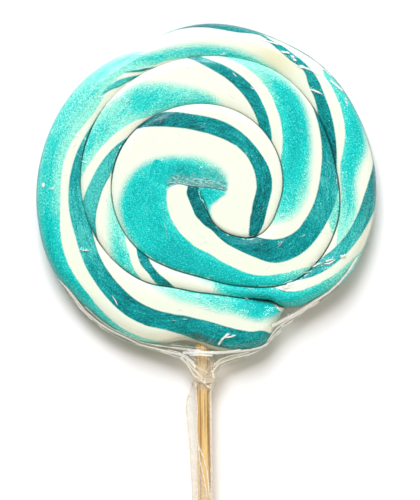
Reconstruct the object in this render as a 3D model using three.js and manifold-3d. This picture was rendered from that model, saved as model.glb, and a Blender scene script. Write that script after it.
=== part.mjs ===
// A swirl lollipop lying on its back: one thick rope of boiled sugar coiled into a flat disc, a wooden stick
// pushed into the disc's edge, and a clear film whose mouth is gathered and twisted round the stick.
//
// Millimetres, +Z up. The origin is the middle of the disc's flat underside, and the stick runs towards -Y.
// Round the disc, angles are in degrees from the stick (-Y), clockwise seen from above (-X is at 90).

import * as THREE from 'three';
import { mergeVertices } from 'three/addons/utils/BufferGeometryUtils.js';
import Module from 'manifold-3d';

const wasm = await Module();
wasm.setup();

// ---- Driving sizes ----

const THICKNESS = 9.6;        // of the disc at its middle
const DOME = 0.9;             // how much thinner the disc is at its rim
const MID_HEIGHT = (THICKNESS - DOME) / 2; // of the rim's equator, and of the stick pushed into it
const TURN_DEG = 360;
const ROPE_START = -33;       // the rope's outer end, beside the stick
const ROPE_END = 1167;        // the rope's inner end, at the middle of the disc
const STATION_DEG = 7.5;      // one cross-section of the rope every so many degrees

const RIM_ROUND = 4.6;        // radius of the rounded rim
const SEAM_DEPTH = 1.1;       // groove between two turns, on the upper face
const SEAM_STEEP = 2.0;       // width of the groove's bank on the inner turn, which lies a little on the outer one
const SEAM_GENTLE = 3.8;      // width of its bank on the outer turn
const UNDER_DEPTH = 0.6;      // groove between two turns, on the flat underside
const UNDER_BANK = 1.4;
const NOTCH_DEG = 20;         // the rim's depth runs out into the seam's over this angle, behind the rope's end
const TAPER_DEG = 11;         // the rope's outer end rounds off over this angle
const TAPER_HEIGHT = 0.45;    // height of its very tip, as a share of the rope's
const CENTRE_CALM = 1060;     // from this angle on, the seam fades out towards the middle

const FOLD_FROM = [-8.1, 0.2]; // the pinch where the innermost stretch doubles back over itself
const FOLD_TO = [5.2, -0.4];
const FOLD_DEPTH = 0.45;
const FOLD_WIDTH = 0.7;

const STICK_RADIUS = 1.65;
const STICK_LENGTH = 145;
const STICK_TOP = -8;         // y of its upper end, inside the disc
const STICK_X = -1.45;        // x of that end
const STICK_LEAN = 1;         // degrees, its lower end towards +X
const STICK_CHAMFER = 0.3;
const STICK_SIDES = 16;
const FIT_GAP = 0.3;          // between pieces that touch

const FILM_STAND_OFF = 0.35;  // thickness of the film's solid where it leaves the rim
const FILM_FROM = -66;        // the stretch of the rim where the film stands clear of the sugar
const FILM_TO = 60;
const FILM_FADE = 12;         // it draws in to the rim over this angle at both ends of that stretch
const FILM_STATION_DEG = 3;
const NECK_REACH = 45.6;      // distance of the twisted neck from the disc's middle
const NECK_HALF_HEIGHT = 2.6;
const NECK_OVERLAP = 1.2;     // the tail starts this far inside the skirt
const TAIL_LENGTH = 36;       // of the loose film below the neck

// Radius of the rope's outer edge, by the angle through which the coil has turned. The first turn is the disc's
// rim; from 327 on the edge is the seam against the turn outside it.
const ROPE_EDGE = [
  [-33, 34.8], [-29.8, 36.1], [-26, 37.6], [-22.5, 39.6], [-18, 40.6], [-12, 40.4], [6, 38.2], [20, 40.0],
  [45, 41.0], [61, 41.9], [80, 41.3], [105, 40.4], [130, 39.5], [153, 38.1], [180, 39.8], [208, 40.0],
  [223, 40.8], [245, 40.8], [268, 41.1], [290, 40.9], [304.5, 40.0], [315, 37.8], [324, 35.7], [327.5, 33.8],
  [329.5, 31.6], [332.5, 30.3], [339, 28.4], [347, 26.7], [356, 25.5], [364, 25.1], [378, 25.1], [392, 26.7],
  [410, 28.0], [430, 29.1], [480, 31.0], [540, 31.6], [575, 32.6], [620, 31.5], [646, 32.6], [664, 32.0],
  [675, 30.9], [700, 25.1], [722, 21.6], [745, 21.1], [765, 21.9], [840, 22.3], [875, 20.8], [945, 19.4],
  [1000, 18.0], [1038, 16.0], [1050, 13.2], [1066, 9.1], [1080, 4.5], [1110, 2.3], [1140, 1.4], [1167, 0],
];

// Radius of the film's outline, which spans the notch behind the rope's end and runs out to the neck.
const FILM_EDGE = [
  [-66, 40.4], [-50, 39.5], [-37, 38.0], [-27, 38.9], [-18, 41.0], [-9, 41.5], [-4.2, 42.6], [-2.6, 45.6],
  [3.4, 45.7], [5.2, 43.8], [8.7, 41.6], [14, 41.1], [33, 41.9], [50, 42.1], [60, 42.1],
];

// The tail's cross-sections: how far below the neck, how far the loose flap reaches to the left of the stick's
// axis, and the flap's half thickness.
const TAIL_SECTIONS = [
  { below: 0, reach: 2.5, flap: 1.5 },
  { below: 2, reach: 3.1, flap: 0.6 },
  { below: 7, reach: 4.2, flap: 0.45 },
  { below: 14, reach: 3.9, flap: 0.5 },
  { below: 22, reach: 3.4, flap: 0.6 },
  { below: 30, reach: 3.3, flap: 0.5 },
  { below: TAIL_LENGTH, reach: 3.6, flap: 0.4 },
];

// ---- Small helpers ----

const smooth = (from, to, x) => THREE.MathUtils.smoothstep(x, from, to);

// A smooth curve through a short list of [x, y] knots.
function curveThrough(knots) {
  const slope = knots.map((knot, i) => {
    const [before, after] = [knots[Math.max(i - 1, 0)], knots[Math.min(i + 1, knots.length - 1)]];
    const [rise0, run0] = [knot[1] - before[1], knot[0] - before[0]];
    const [rise1, run1] = [after[1] - knot[1], after[0] - knot[0]];
    if (run0 === 0) return rise1 / run1;
    if (run1 === 0) return rise0 / run0;
    return ((rise0 / run0) * run1 + (rise1 / run1) * run0) / (run0 + run1);
  });
  return (x) => {
    let i = 0;
    while (i < knots.length - 2 && x >= knots[i + 1][0]) i += 1;
    const run = knots[i + 1][0] - knots[i][0];
    const s = THREE.MathUtils.clamp((x - knots[i][0]) / run, 0, 1);
    const [s2, s3] = [s * s, s * s * s];
    return (2 * s3 - 3 * s2 + 1) * knots[i][1] + (s3 - 2 * s2 + s) * run * slope[i]
      + (3 * s2 - 2 * s3) * knots[i + 1][1] + (s3 - s2) * run * slope[i + 1];
  };
}

// The point at an angle and radius round the disc.
function onDisc(degrees, radius, z) {
  const angle = THREE.MathUtils.degToRad(degrees);
  return [-radius * Math.sin(angle), -radius * Math.cos(angle), z];
}

// A closed geometry from points and triangles, turned to face out.
function closedGeometry(points, triangles) {
  const solid = new THREE.BufferGeometry();
  solid.setAttribute('position', new THREE.Float32BufferAttribute(points.flat(), 3));
  const kept = triangles.filter(([a, b, c]) => a !== b && b !== c && c !== a);
  const volume = kept.reduce((sum, [a, b, c]) => {
    const [p, q, r] = [points[a], points[b], points[c]].map((point) => new THREE.Vector3(...point));
    return sum + p.dot(q.cross(r));
  }, 0);
  solid.setIndex(kept.flatMap(([a, b, c]) => (volume > 0 ? [a, b, c] : [a, c, b])));
  return solid;
}

// The same closed geometry with every point moved out along its normal.
function grown(geometry, margin) {
  const solid = geometry.clone();
  solid.computeVertexNormals();
  const [position, normal] = [solid.getAttribute('position'), solid.getAttribute('normal')];
  for (let i = 0; i < position.count; i += 1) {
    const out = new THREE.Vector3().fromBufferAttribute(normal, i).multiplyScalar(margin);
    position.setXYZ(i, position.getX(i) + out.x, position.getY(i) + out.y, position.getZ(i) + out.z);
  }
  return solid;
}

function toManifold(geometry, matrix = new THREE.Matrix4()) {
  const bare = new THREE.BufferGeometry();
  const source = geometry.index ? geometry.toNonIndexed() : geometry;
  bare.setAttribute('position', source.getAttribute('position').clone());
  bare.applyMatrix4(matrix);
  const merged = mergeVertices(bare, 1e-4);
  return new wasm.Manifold(new wasm.Mesh({
    numProp: 3,
    vertProperties: merged.attributes.position.array,
    triVerts: new Uint32Array(merged.index.array),
  }));
}

function toGeometry(manifold) {
  const { vertProperties, triVerts } = manifold.getMesh();
  const geometry = new THREE.BufferGeometry();
  geometry.setAttribute('position', new THREE.BufferAttribute(new Float32Array(vertProperties), 3));
  geometry.setIndex(new THREE.BufferAttribute(new Uint32Array(triVerts), 1));
  const faceted = geometry.toNonIndexed();
  faceted.computeVertexNormals();
  return faceted;
}

function named(name, geometry, color, roughness) {
  const mesh = new THREE.Mesh(geometry, new THREE.MeshStandardMaterial({ color, roughness, metalness: 0 }));
  mesh.name = name;
  return mesh;
}

// ---- The coiled rope of sugar ----

const ropeEdge = curveThrough(ROPE_EDGE);
const RIM_END = ROPE_START + TURN_DEG;
const faceHeight = (radius) => THICKNESS - DOME * (radius / 40) ** 2;

// Inner edge of the turn whose outer edge is at this angle: the seam one turn further on, or the middle.
const innerEdge = (degrees) => (degrees + TURN_DEG < ROPE_END ? ropeEdge(degrees + TURN_DEG) : 0);

// How deep the edge lies below the upper face: half the disc at the rim, the groove's depth at a seam.
function edgeDepth(degrees) {
  const half = faceHeight(ropeEdge(degrees)) / 2;
  const seam = SEAM_DEPTH * (1 - smooth(CENTRE_CALM, ROPE_END, degrees));
  return THREE.MathUtils.lerp(half, seam, smooth(RIM_END, RIM_END + NOTCH_DEG, degrees));
}

function edgeDepthUnder(degrees) {
  const half = faceHeight(ropeEdge(degrees)) / 2;
  const seam = UNDER_DEPTH * (1 - smooth(CENTRE_CALM - 60, CENTRE_CALM, degrees));
  return THREE.MathUtils.lerp(half, seam, smooth(RIM_END, RIM_END + NOTCH_DEG, degrees));
}

// A quarter of an ellipse that falls from nothing at the bank's width to the full depth at the edge.
function bank(distance, width, depth) {
  if (distance >= width || width <= 0) return 0;
  return depth * (1 - Math.sqrt(1 - (1 - distance / width) ** 2));
}

function foldDrop(x, y) {
  const along = new THREE.Line3(new THREE.Vector3(...FOLD_FROM, 0), new THREE.Vector3(...FOLD_TO, 0));
  const here = new THREE.Vector3(x, y, 0);
  const away = here.distanceTo(along.closestPointToPoint(here, true, new THREE.Vector3()));
  return FOLD_DEPTH * Math.exp(-((away / FOLD_WIDTH) ** 2));
}

// A point across the rope at one angle, from its outer edge (share 0) to its inner edge (share 1).
function acrossRope(degrees, share, upper) {
  const [outer, inner] = [ropeEdge(degrees), innerEdge(degrees)];
  const width = Math.max(outer - inner, 0);
  const radius = outer - share * width;
  const onRim = 1 - smooth(RIM_END, RIM_END + NOTCH_DEG, degrees);
  const innerOnRim = 1 - smooth(RIM_END, RIM_END + NOTCH_DEG, degrees + TURN_DEG);
  const [steep, gentle] = upper ? [SEAM_STEEP, SEAM_GENTLE] : [UNDER_BANK, UNDER_BANK];
  const outerBank = Math.min(THREE.MathUtils.lerp(steep, RIM_ROUND, onRim), width / 2);
  const innerBank = Math.min(THREE.MathUtils.lerp(gentle, RIM_ROUND, innerOnRim), width / 2);
  const depth = upper ? edgeDepth : edgeDepthUnder;
  const innerDepth = degrees + TURN_DEG < ROPE_END ? depth(degrees + TURN_DEG) : 0;
  const drop = bank(share * width, outerBank, depth(degrees))
    + bank((1 - share) * width, innerBank, innerDepth);
  const face = faceHeight(radius);
  const taper = THREE.MathUtils.lerp(TAPER_HEIGHT, 1, smooth(ROPE_START, ROPE_START + TAPER_DEG, degrees));
  const [x, y] = onDisc(degrees, radius, 0);
  const height = upper ? face - drop - foldDrop(x, y) : drop;
  return [x, y, face / 2 + (height - face / 2) * taper];
}

// Shares across the rope, closer together towards its two edges.
const sharesAcross = (count) => Array.from({ length: count + 1 }, (_, i) => (1 - Math.cos((Math.PI * i) / count)) / 2);

function coiledRope() {
  const stations = Math.round((ROPE_END - ROPE_START) / STATION_DEG);
  const perTurn = TURN_DEG / STATION_DEG;
  const points = [];
  const add = ([x, y, z]) => points.push([x, y, z]) - 1;
  const angleAt = (station) => ROPE_START + station * STATION_DEG;

  // Along the rim the two faces share their edge; from the rope's end on, each face has a seam of its own.
  const edges = { true: [], false: [] };
  for (let s = 0; s <= stations; s += 1) {
    const degrees = angleAt(s);
    const radius = ropeEdge(degrees);
    const face = faceHeight(radius);
    const [x, y] = onDisc(degrees, radius, 0);
    edges.true.push(add([x, y, face - edgeDepth(degrees)]));
    edges.false.push(s <= perTurn ? edges.true[s] : add([x, y, edgeDepthUnder(degrees)]));
  }

  const triangles = [];
  const rowsOf = (upper, shares) => {
    const middle = edges[upper][stations];
    const rows = [];
    for (let s = 0; s <= stations; s += 1) {
      const innermost = s + perTurn < stations ? edges[upper][s + perTurn] : middle;
      const between = s === stations
        ? shares.slice(1, -1).map(() => middle)
        : shares.slice(1, -1).map((share) => add(acrossRope(angleAt(s), share, upper)));
      rows.push([edges[upper][s], ...between, innermost]);
    }
    for (let s = 0; s < stations; s += 1) {
      for (let i = 0; i < shares.length - 1; i += 1) {
        const [a, b, c, d] = [rows[s][i], rows[s + 1][i], rows[s + 1][i + 1], rows[s][i + 1]];
        triangles.push(...(upper ? [[a, b, c], [a, c, d]] : [[a, c, b], [a, d, c]]));
      }
    }
    return rows;
  };
  const upperRows = rowsOf(true, sharesAcross(12));
  const underRows = rowsOf(false, sharesAcross(8));

  // The end face of the rope, a fan between its first upper and first lower row.
  const outline = [...upperRows[0], ...underRows[0].slice(1, -1).reverse()];
  for (let i = 1; i < outline.length - 1; i += 1) triangles.push([outline[0], outline[i], outline[i + 1]]);
  return closedGeometry(points, triangles);
}

// ---- The stick ----

const stickPlace = new THREE.Matrix4()
  .makeTranslation(STICK_X, STICK_TOP, MID_HEIGHT)
  .multiply(new THREE.Matrix4().makeRotationZ(THREE.MathUtils.degToRad(STICK_LEAN)));

function stickGeometry() {
  const inner = STICK_RADIUS - STICK_CHAMFER;
  const profile = [
    [0, 0], [inner, 0], [STICK_RADIUS, -STICK_CHAMFER], [STICK_RADIUS, STICK_CHAMFER - STICK_LENGTH],
    [inner, -STICK_LENGTH], [0, -STICK_LENGTH],
  ].map(([x, y]) => new THREE.Vector2(x, y)).reverse();
  return new THREE.LatheGeometry(profile, STICK_SIDES);
}

// The hole that the stick leaves in whatever is moulded or gathered round it.
function stickHole() {
  const hole = new THREE.CylinderGeometry(STICK_RADIUS + FIT_GAP, STICK_RADIUS + FIT_GAP, STICK_LENGTH, STICK_SIDES);
  hole.translate(0, FIT_GAP - STICK_LENGTH / 2, 0);
  return toManifold(hole, stickPlace);
}

// ---- The film ----

const filmEdge = curveThrough(FILM_EDGE);

// A closed solid through rings of points, each a closed loop with as many points as the next.
function loft(rings) {
  const count = rings[0].length;
  const points = rings.flat();
  const triangles = [];
  for (let r = 0; r < rings.length - 1; r += 1) {
    for (let i = 0; i < count; i += 1) {
      const j = (i + 1) % count;
      const [a, b, c, d] = [r * count + i, r * count + j, (r + 1) * count + j, (r + 1) * count + i];
      triangles.push([a, b, c], [a, c, d]);
    }
  }
  [[0, true], [rings.length - 1, false]].forEach(([ring, first]) => {
    const middle = new THREE.Vector3();
    rings[ring].forEach((point) => middle.add(new THREE.Vector3(...point)));
    const hub = points.push(middle.divideScalar(count).toArray()) - 1;
    for (let i = 0; i < count; i += 1) {
      const [a, b] = [ring * count + i, ring * count + ((i + 1) % count)];
      triangles.push(first ? [hub, b, a] : [hub, a, b]);
    }
  });
  return toManifold(closedGeometry(points, triangles));
}

// The wedge out to the film's outline at one angle, straight from where the film leaves the two faces.
function skirtRing(degrees) {
  const along = degrees < ROPE_START ? degrees + TURN_DEG : degrees;
  const rim = ropeEdge(along);
  const half = faceHeight(rim) / 2;
  const round = Math.min(RIM_ROUND, half) + FIT_GAP;
  const centre = rim + FIT_GAP - round;
  const loose = smooth(FILM_FROM, FILM_FROM + FILM_FADE, degrees) * (1 - smooth(FILM_TO - FILM_FADE, FILM_TO, degrees));
  const snug = rim + FIT_GAP + FILM_STAND_OFF + 0.1;
  const reach = Math.max(snug + (filmEdge(degrees) - snug) * loose, snug);
  const tip = THREE.MathUtils.lerp(0.25, NECK_HALF_HEIGHT, smooth(41.5, NECK_REACH, reach));
  const lean = Math.acos(THREE.MathUtils.clamp(round / (reach - centre), 0, 1));
  const shell = round + FILM_STAND_OFF;
  const touch = [centre + shell * Math.cos(lean), shell * Math.sin(lean)];
  const ring = [
    [touch[0], half + touch[1]], [reach - FILM_STAND_OFF, half + tip], [reach, half + tip / 2],
    [reach, half - tip / 2], [reach - FILM_STAND_OFF, half - tip], [touch[0], half - touch[1]],
  ];
  return ring.map(([radius, z]) => onDisc(degrees, radius, Math.max(z, 0)));
}

function skirt() {
  const count = Math.round((FILM_TO - FILM_FROM) / FILM_STATION_DEG);
  return loft(Array.from({ length: count + 1 }, (_, i) => skirtRing(FILM_FROM + i * FILM_STATION_DEG)));
}

// One cross-section of the tail: a sleeve round the stick with a flat flap of loose film at its left.
function tailRing({ below, reach, flap }) {
  const y = NECK_OVERLAP - NECK_REACH - below;
  const middle = STICK_X + (STICK_TOP - y) * Math.tan(THREE.MathUtils.degToRad(STICK_LEAN));
  const sleeve = STICK_RADIUS + FIT_GAP + FILM_STAND_OFF;
  const ring = [];
  const steps = 10;
  for (let i = 0; i <= steps; i += 1) {
    const angle = THREE.MathUtils.lerp(-0.8, 0.8, i / steps) * Math.PI;
    ring.push([middle + sleeve * Math.cos(angle), y, MID_HEIGHT + sleeve * Math.sin(angle)]);
  }
  const left = middle - reach;
  ring.push([left + flap, y, MID_HEIGHT + flap], [left, y, MID_HEIGHT], [left + flap, y, MID_HEIGHT - flap]);
  return ring;
}

// ---- The lollipop ----

const hole = stickHole();
const coil = coiledRope();
const candy = toManifold(coil).subtract(hole);
const gathered = skirt().add(loft(TAIL_SECTIONS.map(tailRing)));
const film = gathered.subtract(toManifold(grown(coil, FIT_GAP))).subtract(hole);

const stick = named('stick', stickGeometry(), 0xd9ae68, 0.7);
stick.applyMatrix4(stickPlace);

const lollipop = new THREE.Group();
lollipop.add(named('candy_coil', toGeometry(candy), 0x35c9c4, 0.25));
lollipop.add(stick);
lollipop.add(named('film_wrap', toGeometry(film), 0xeef4f0, 0.15));

export default lollipop;
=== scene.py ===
"""A swirl lollipop lying on its back, dressed over its CAD frame.

The coiled, striped rope of boiled sugar replaces candy_coil, the crinkled clear film replaces film_wrap, and
a grained stick replaces stick. Sizes are in millimetres here and metres in Blender. The origin is the middle
of the disc's flat underside. Round the disc, degrees run from the stick (-Y), clockwise seen from above.
"""

import math

import bmesh
import bpy
import numpy as np
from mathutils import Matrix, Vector, geometry


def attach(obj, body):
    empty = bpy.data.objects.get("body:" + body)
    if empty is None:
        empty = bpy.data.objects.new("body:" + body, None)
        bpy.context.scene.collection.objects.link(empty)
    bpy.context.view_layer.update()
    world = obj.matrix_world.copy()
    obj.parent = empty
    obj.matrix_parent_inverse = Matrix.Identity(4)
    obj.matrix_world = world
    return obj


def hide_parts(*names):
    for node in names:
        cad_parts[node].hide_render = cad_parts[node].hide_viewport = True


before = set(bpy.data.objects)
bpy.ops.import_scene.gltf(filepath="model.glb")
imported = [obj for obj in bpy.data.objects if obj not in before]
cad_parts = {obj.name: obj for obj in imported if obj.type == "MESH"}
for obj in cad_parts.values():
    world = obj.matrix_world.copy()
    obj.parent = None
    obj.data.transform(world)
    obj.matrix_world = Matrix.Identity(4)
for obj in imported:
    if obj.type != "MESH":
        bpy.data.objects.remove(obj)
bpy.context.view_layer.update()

MM = 0.001

# ---- The coil, by the same sizes as its CAD solid ----

THICKNESS = 9.6
DOME = 0.9
DOME_RADIUS = 40
MID_HEIGHT = (THICKNESS - DOME) / 2
LIFT = 0.06  # the film lies between the sugar and the floor

# The rope winds inwards from the rim. A place along it is the degrees it has turned by then.
ROPE_START = -33
ROPE_END = 1167
TURN = 360
NOTCH = 20
TAPER = 11
TAPER_HEIGHT = 0.45
CENTRE_CALM = 1060
UNDER_CALM = 1000

RIM_ROUND = 4.6
SEAM_DEPTH = 1.1
SEAM_STEEP = 2.0
SEAM_GENTLE = 3.8
UNDER_DEPTH = 0.6
UNDER_BANK = 1.4
FOLD_DEPTH = 0.4
FOLD_ABOVE = 2.6
FOLD_BELOW = 0.16

# Radius of the rope's outer edge, as (degrees, mm). Beside the stick, from -12 to 45 degrees, it lies up to
# 1 mm further in than the CAD solid's edge, or 0.3 mm further out. Elsewhere the two are the same.
ROPE_EDGE = [
    (-33, 34.8), (-29.8, 36.1), (-26, 37.6), (-22.5, 39.6), (-18, 40.6), (-12, 40.4), (-5, 39.6),
    (-1, 38.7), (2, 37.8), (6, 37.3), (10, 37.6), (14, 38.6), (20, 39.9), (45, 41), (61, 41.9), (80, 41.3),
    (105, 40.4), (130, 39.5), (153, 38.1), (180, 39.8), (208, 40), (223, 40.8), (245, 40.8), (268, 41.1),
    (290, 40.9), (304.5, 40), (315, 37.8), (324, 35.7), (327.5, 33.8), (329.5, 31.6), (332.5, 30.3),
    (339, 28.4), (347, 26.7), (356, 25.5), (364, 25.1), (378, 25.1), (392, 26.7), (410, 28), (430, 29.1),
    (480, 31), (540, 31.6), (575, 32.6), (620, 31.5), (646, 32.6), (664, 32), (675, 30.9), (700, 25.1),
    (722, 21.6), (745, 21.1), (765, 21.9), (840, 22.3), (875, 20.8), (945, 19.4), (1000, 18), (1038, 16),
    (1050, 13.2), (1066, 9.1), (1080, 4.5), (1110, 2.3), (1140, 1.4), (1167, 0),
]

# The fold across the middle, where the innermost stretch doubles back over itself, as (x, y).
FOLD_LINE = [
    (-9.6, -0.6), (-9, -0.2), (-7.7, 0.7), (-6.1, 0.95), (-4.5, 0.55), (-1.8, 0.25), (0.8, 0.05),
    (2.4, -0.25), (4.55, -0.7), (5.2, -0.9),
]
# The right-hand edge of the cyan patch below the fold, as (y, x).
PATCH_EDGE = [
    (-7.2, 1.1), (-6.8, 1.2), (-5.5, 0.95), (-4.1, 1.4), (-2.8, 2.95), (-1.5, 4.55), (-0.7, 5), (0, 5.1),
]

# Each stripe runs between two lines that cross the rope from its outer edge (share 0) to its inner edge
# (share 1). A line is a few (degrees, share) knots. The first line of a stripe meets the outer edge first.
DARK_STRIPES = [
    ([(-24.5, 0), (-22.6, 0.2), (-17, 0.35), (-11, 0.43), (-3, 0.5), (5, 0.49), (12, 0.53), (21, 0.58),
      (40, 0.71), (54, 0.83), (70, 1)],
     [(-21, 0), (-12, 0.05), (-6, 0.09), (0, 0.09), (4, 0.08), (9, 0.15), (16, 0.27), (24, 0.31),
      (38, 0.38), (53, 0.52), (70, 0.67), (81, 0.7), (99, 0.8), (121, 1)]),
    ([(169, 0.03), (180, 0.15), (186, 0.21), (192, 0.22), (196, 0.16), (200, 0.13), (204, 0.25),
      (208, 0.35), (213, 0.46), (221, 0.54), (224, 0.68), (231, 0.84), (236, 0.96), (240, 1.06)],
     [(174, -0.02), (197, 0), (200, 0.06), (204, 0.15), (208, 0.17), (212, 0.24), (219.4, 0.32),
      (222.6, 0.37), (226.6, 0.44), (230.6, 0.54), (236, 0.63), (244, 0.75), (262, 1)]),
    ([(260.5, 0), (270.5, 0.29), (287, 0.63), (295, 0.81), (302, 1)],
     [(276, 0), (279.5, 0.09), (295, 0.44), (303, 0.63), (310, 0.79), (316, 1)]),
    ([(377.5, 0), (381, 0.24), (389, 0.57), (393.6, 0.74), (400, 1)],
     [(385.5, 0), (389, 0.16), (392.5, 0.35), (401, 0.62), (404.5, 0.78), (409, 1)]),
    ([(424, 0), (432.5, 0.22), (443.5, 0.56), (454.5, 0.86), (460, 1)],
     [(443.5, 0), (452.5, 0.32), (464.5, 0.62), (483, 1)]),
    ([(532, 0), (542, 0.26), (553.5, 0.5), (567, 0.76), (581, 1)],
     [(537, 0), (549, 0.2), (562.5, 0.42), (576, 0.68), (595, 1)]),
    ([(592.5, 0), (610, 0.16), (629, 0.36), (647, 0.51), (656.5, 0.59), (667, 0.78), (674.5, 1),
      (690, 1.25), (705, 1.1), (717, 1), (729, 0.965), (745, 0.965), (762, 0.975), (790, 0.95),
      (817.4, 0.918), (835, 0.9)],
     [(629, 0), (644, 0.16), (668, 0.33), (680, 0.48), (684, 0.58), (702, 0.78), (709, 0.81), (722, 0.72),
      (734, 0.735), (752.5, 0.807), (775.4, 0.835), (803.9, 0.806), (815, 0.807), (835, 0.8), (838, 1.3)]),
    ([(850, 0), (868, 0.18), (889, 0.31), (907, 0.36), (953, 0.356), (989, 0.34), (1016, 0.31),
      (1027, 0.24), (1033.6, 0.14), (1038, 0.04), (1044, -0.1)],
     [(853, 0), (870, 0.01), (889, 0.12), (916, 0.18), (953, 0.2), (980, 0.15), (1016, 0.11), (1029, 0.04),
      (1040, -0.05)]),
    ([(131, 0.72), (134.1, 0.77), (139.6, 0.91), (144.6, 0.97), (149.8, 1.02)],
     [(131, 0.72), (135.6, 0.7), (140.5, 0.73), (144.9, 0.85), (149.8, 1)]),
    ([(144, 0.62), (147, 0.75), (150.5, 0.9), (153, 0.95), (157.8, 1.01)],
     [(144, 0.62), (147, 0.7), (150.5, 0.82), (153, 0.88), (157.8, 1)]),
]
CYAN_STRIPES = [
    ([(-31.8, -0.4), (-31.1, 0.26), (-30.3, 0.8), (-29.3, 1.4), (40, 1.4)],
     [(-31.5, 0.21), (-30, 0.18), (-28.3, 0.24), (-24.7, 0.41), (-18.5, 0.58), (-11.9, 0.69), (-5, 0.71),
      (3, 0.75), (15, 0.81), (26, 0.95), (34, 1.06)]),
    ([(13, 0), (20, 0.08), (30, 0.12), (40, 0.17), (49, 0.25), (67, 0.36), (85, 0.54), (104, 0.61),
      (111, 0.69), (118, 0.8), (127, 0.86), (134, 0.76), (140, 0.67), (145, 0.67), (151, 0.8), (158, 0.92),
      (164, 0.94), (172, 1)],
     [(145, 0), (149.5, 0.11), (158.6, 0.47), (166, 0.57), (180, 0.67), (199.5, 0.82), (213, 1)]),
    ([(223, 0), (225.5, 0.16), (231, 0.25), (237, 0.34), (243, 0.43), (249, 0.56), (255, 0.74), (260, 0.87),
      (266, 0.94), (274, 0.97), (281, 1.02), (288, 0.95), (292, 0.84), (298, 0.83)],
     [(249.5, 0), (257, 0.16), (263, 0.43), (268, 0.56), (274, 0.55), (280, 0.52), (286, 0.59), (291, 0.71),
      (298, 0.83)]),
    ([(289, 0), (294.5, 0.15), (298, 0.26), (301, 0.33), (304.3, 0.38), (308.2, 0.45), (311.7, 0.5),
      (316.1, 0.57), (318.8, 0.62), (322.5, 0.78), (325.5, 1)],
     [(353.5, -0.1), (355, 0.2), (356, 0.58), (360, 0.773), (366, 1)]),
    ([(394.5, 0), (402.7, 0.32), (409, 0.62), (414.5, 0.8), (420, 1)],
     [(413.5, 0), (421, 0.34), (425.5, 0.52), (431, 0.68), (438, 0.82), (447, 1)]),
    ([(453.5, 0), (464.5, 0.32), (478, 0.6), (496, 0.88), (505, 1)],
     [(488, 0), (496, 0.1), (507, 0.17), (513, 0.3), (519, 0.42), (526, 0.56), (536, 0.7), (546, 0.86),
      (552, 1)]),
    ([(547, 0), (567, 0.28), (582.7, 0.56), (599, 0.82), (610, 1)],
     [(570, 0), (590, 0.12), (607, 0.34), (620, 0.48), (638, 0.61), (650, 0.75), (657, 0.95)]),
    ([(626, 0), (632, 0.05), (640, 0.13), (645, 0.15), (651, 0)],
     [(626, -0.4), (651, -0.4)]),
    ([(665, 0), (672, 0.14), (678, 0.2), (692, 0.25), (703, 0.35), (711, 0.38), (727, 0.37), (743, 0.44),
      (780, 0.57), (808, 0.593), (818, 0.61), (821, 0.8), (822, 1.5)],
     [(780, 0), (804, 0.09), (823, 0.22), (850, 0.47), (861, 0.55), (881, 0.62), (898, 0.665), (920, 0.7),
      (938, 0.708), (956, 0.713), (982, 0.717), (998, 0.72), (1008, 0.73), (1034, 0.755), (1050, 0.68),
      (1062, 0.575), (1070, 0.28), (1072, 0), (1074, -0.4)]),
]

# How frosty the cyan sugar is along the rope, and how pale the dark teal: 0 is not at all, 1 is very.
# Both are partly the sugar's own and partly painted glare of the film over it.
FROST = [
    (-33, 0), (-25, 0.05), (-16, 0.5), (-2, 0.88), (14, 0.98), (50, 0.02), (72, 0.3), (84, 0.6), (98, 0.75),
    (119, 0.95), (140, 1), (161, 0.5), (203, 0.6), (246, 0.3), (258, 0.3), (274, 0.65), (288, 1.15),
    (309, 0.5), (329, 0.05), (356, 0.8), (398, 0.35), (416, 0.65), (440, 0.95), (475, 0.7), (492, 1),
    (500, 0.7), (518, 0.8), (540, 0.7), (563, 1), (578, 0.35), (604, 0.2), (622, 0.5), (638, 0.7),
    (652, 0.95), (688, 0.3), (732, 0.03), (778, 0.34), (822, 0.24), (848, 0.25), (870, 0.5), (912, 0.7),
    (958, 0.5), (1002, 0.3), (1050, 0.2),
]
PALE = [
    (-20, 0.5), (48, 0.5), (65, 0.85), (84, 0.85), (97, 0.6), (130, 1.3), (142, 1.2), (150, 0.3),
    (189, 0.45), (238, 0.35), (250, 0.1), (269, 0.45), (284, 0.75), (300, 0.85), (316, 0.2), (378, 0.05),
    (392, 0.4), (404, 0.3), (424, 0.5), (434, 0.9), (467, 0.95), (480, 0.5), (545, 0.45), (566, 0.35),
    (584, 0.5), (606, 0.3), (630, 0.75), (655, 0.5), (680, 0.35), (705, 0.12), (730, 0.12), (780, 0.08),
    (858, 0.15), (890, 0.3), (970, 0.32), (1005, 0.15), (1040, 0.1),
]

# How dark the painted shade along each seam is, by the angle of its outer edge, and along the rim.
SEAM_LINE = [
    (327, 0.8), (350, 0.8), (375, 0.9), (400, 0.8), (418, 0.6), (424, 1), (430, 0.4), (436, 0.25),
    (452, 0.2), (462, 0.6), (470, 0.9), (479, 0.8), (486, 0.3), (492, 0.08), (578, 0.1), (588, 0.4),
    (600, 0.6), (616, 0.75), (640, 0.95), (685, 0.9), (720, 0.6), (760, 0.45), (805, 0.4), (815, 0.8),
    (845, 0.9), (860, 0.5), (930, 0.45), (965, 0.8), (1030, 0.8), (1045, 1), (1075, 1), (1085, 0.5),
    (1110, 0.3), (1140, 0),
]
# How dark the painted shade is along the rim, by degrees.
RIM_LINE = [
    (-33, 0.6), (20, 0.8), (60, 0.8), (100, 0.6), (125, 0.3), (140, 0.1), (160, 0.25), (168, 0.8),
    (240, 0.9), (300, 0.6), (330, 0.5),
]


def smooth(low, high, x):
    """0 before low, 1 past high, and a smooth slope between them. Low may be the larger one."""
    s = np.clip((np.asarray(x, float) - low) / (high - low), 0, 1)
    return s * s * (3 - 2 * s)


def between(low, high, x):
    return (x > low) & (x < high)


def mix(a, b, share):
    return a + (b - a) * share


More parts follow.
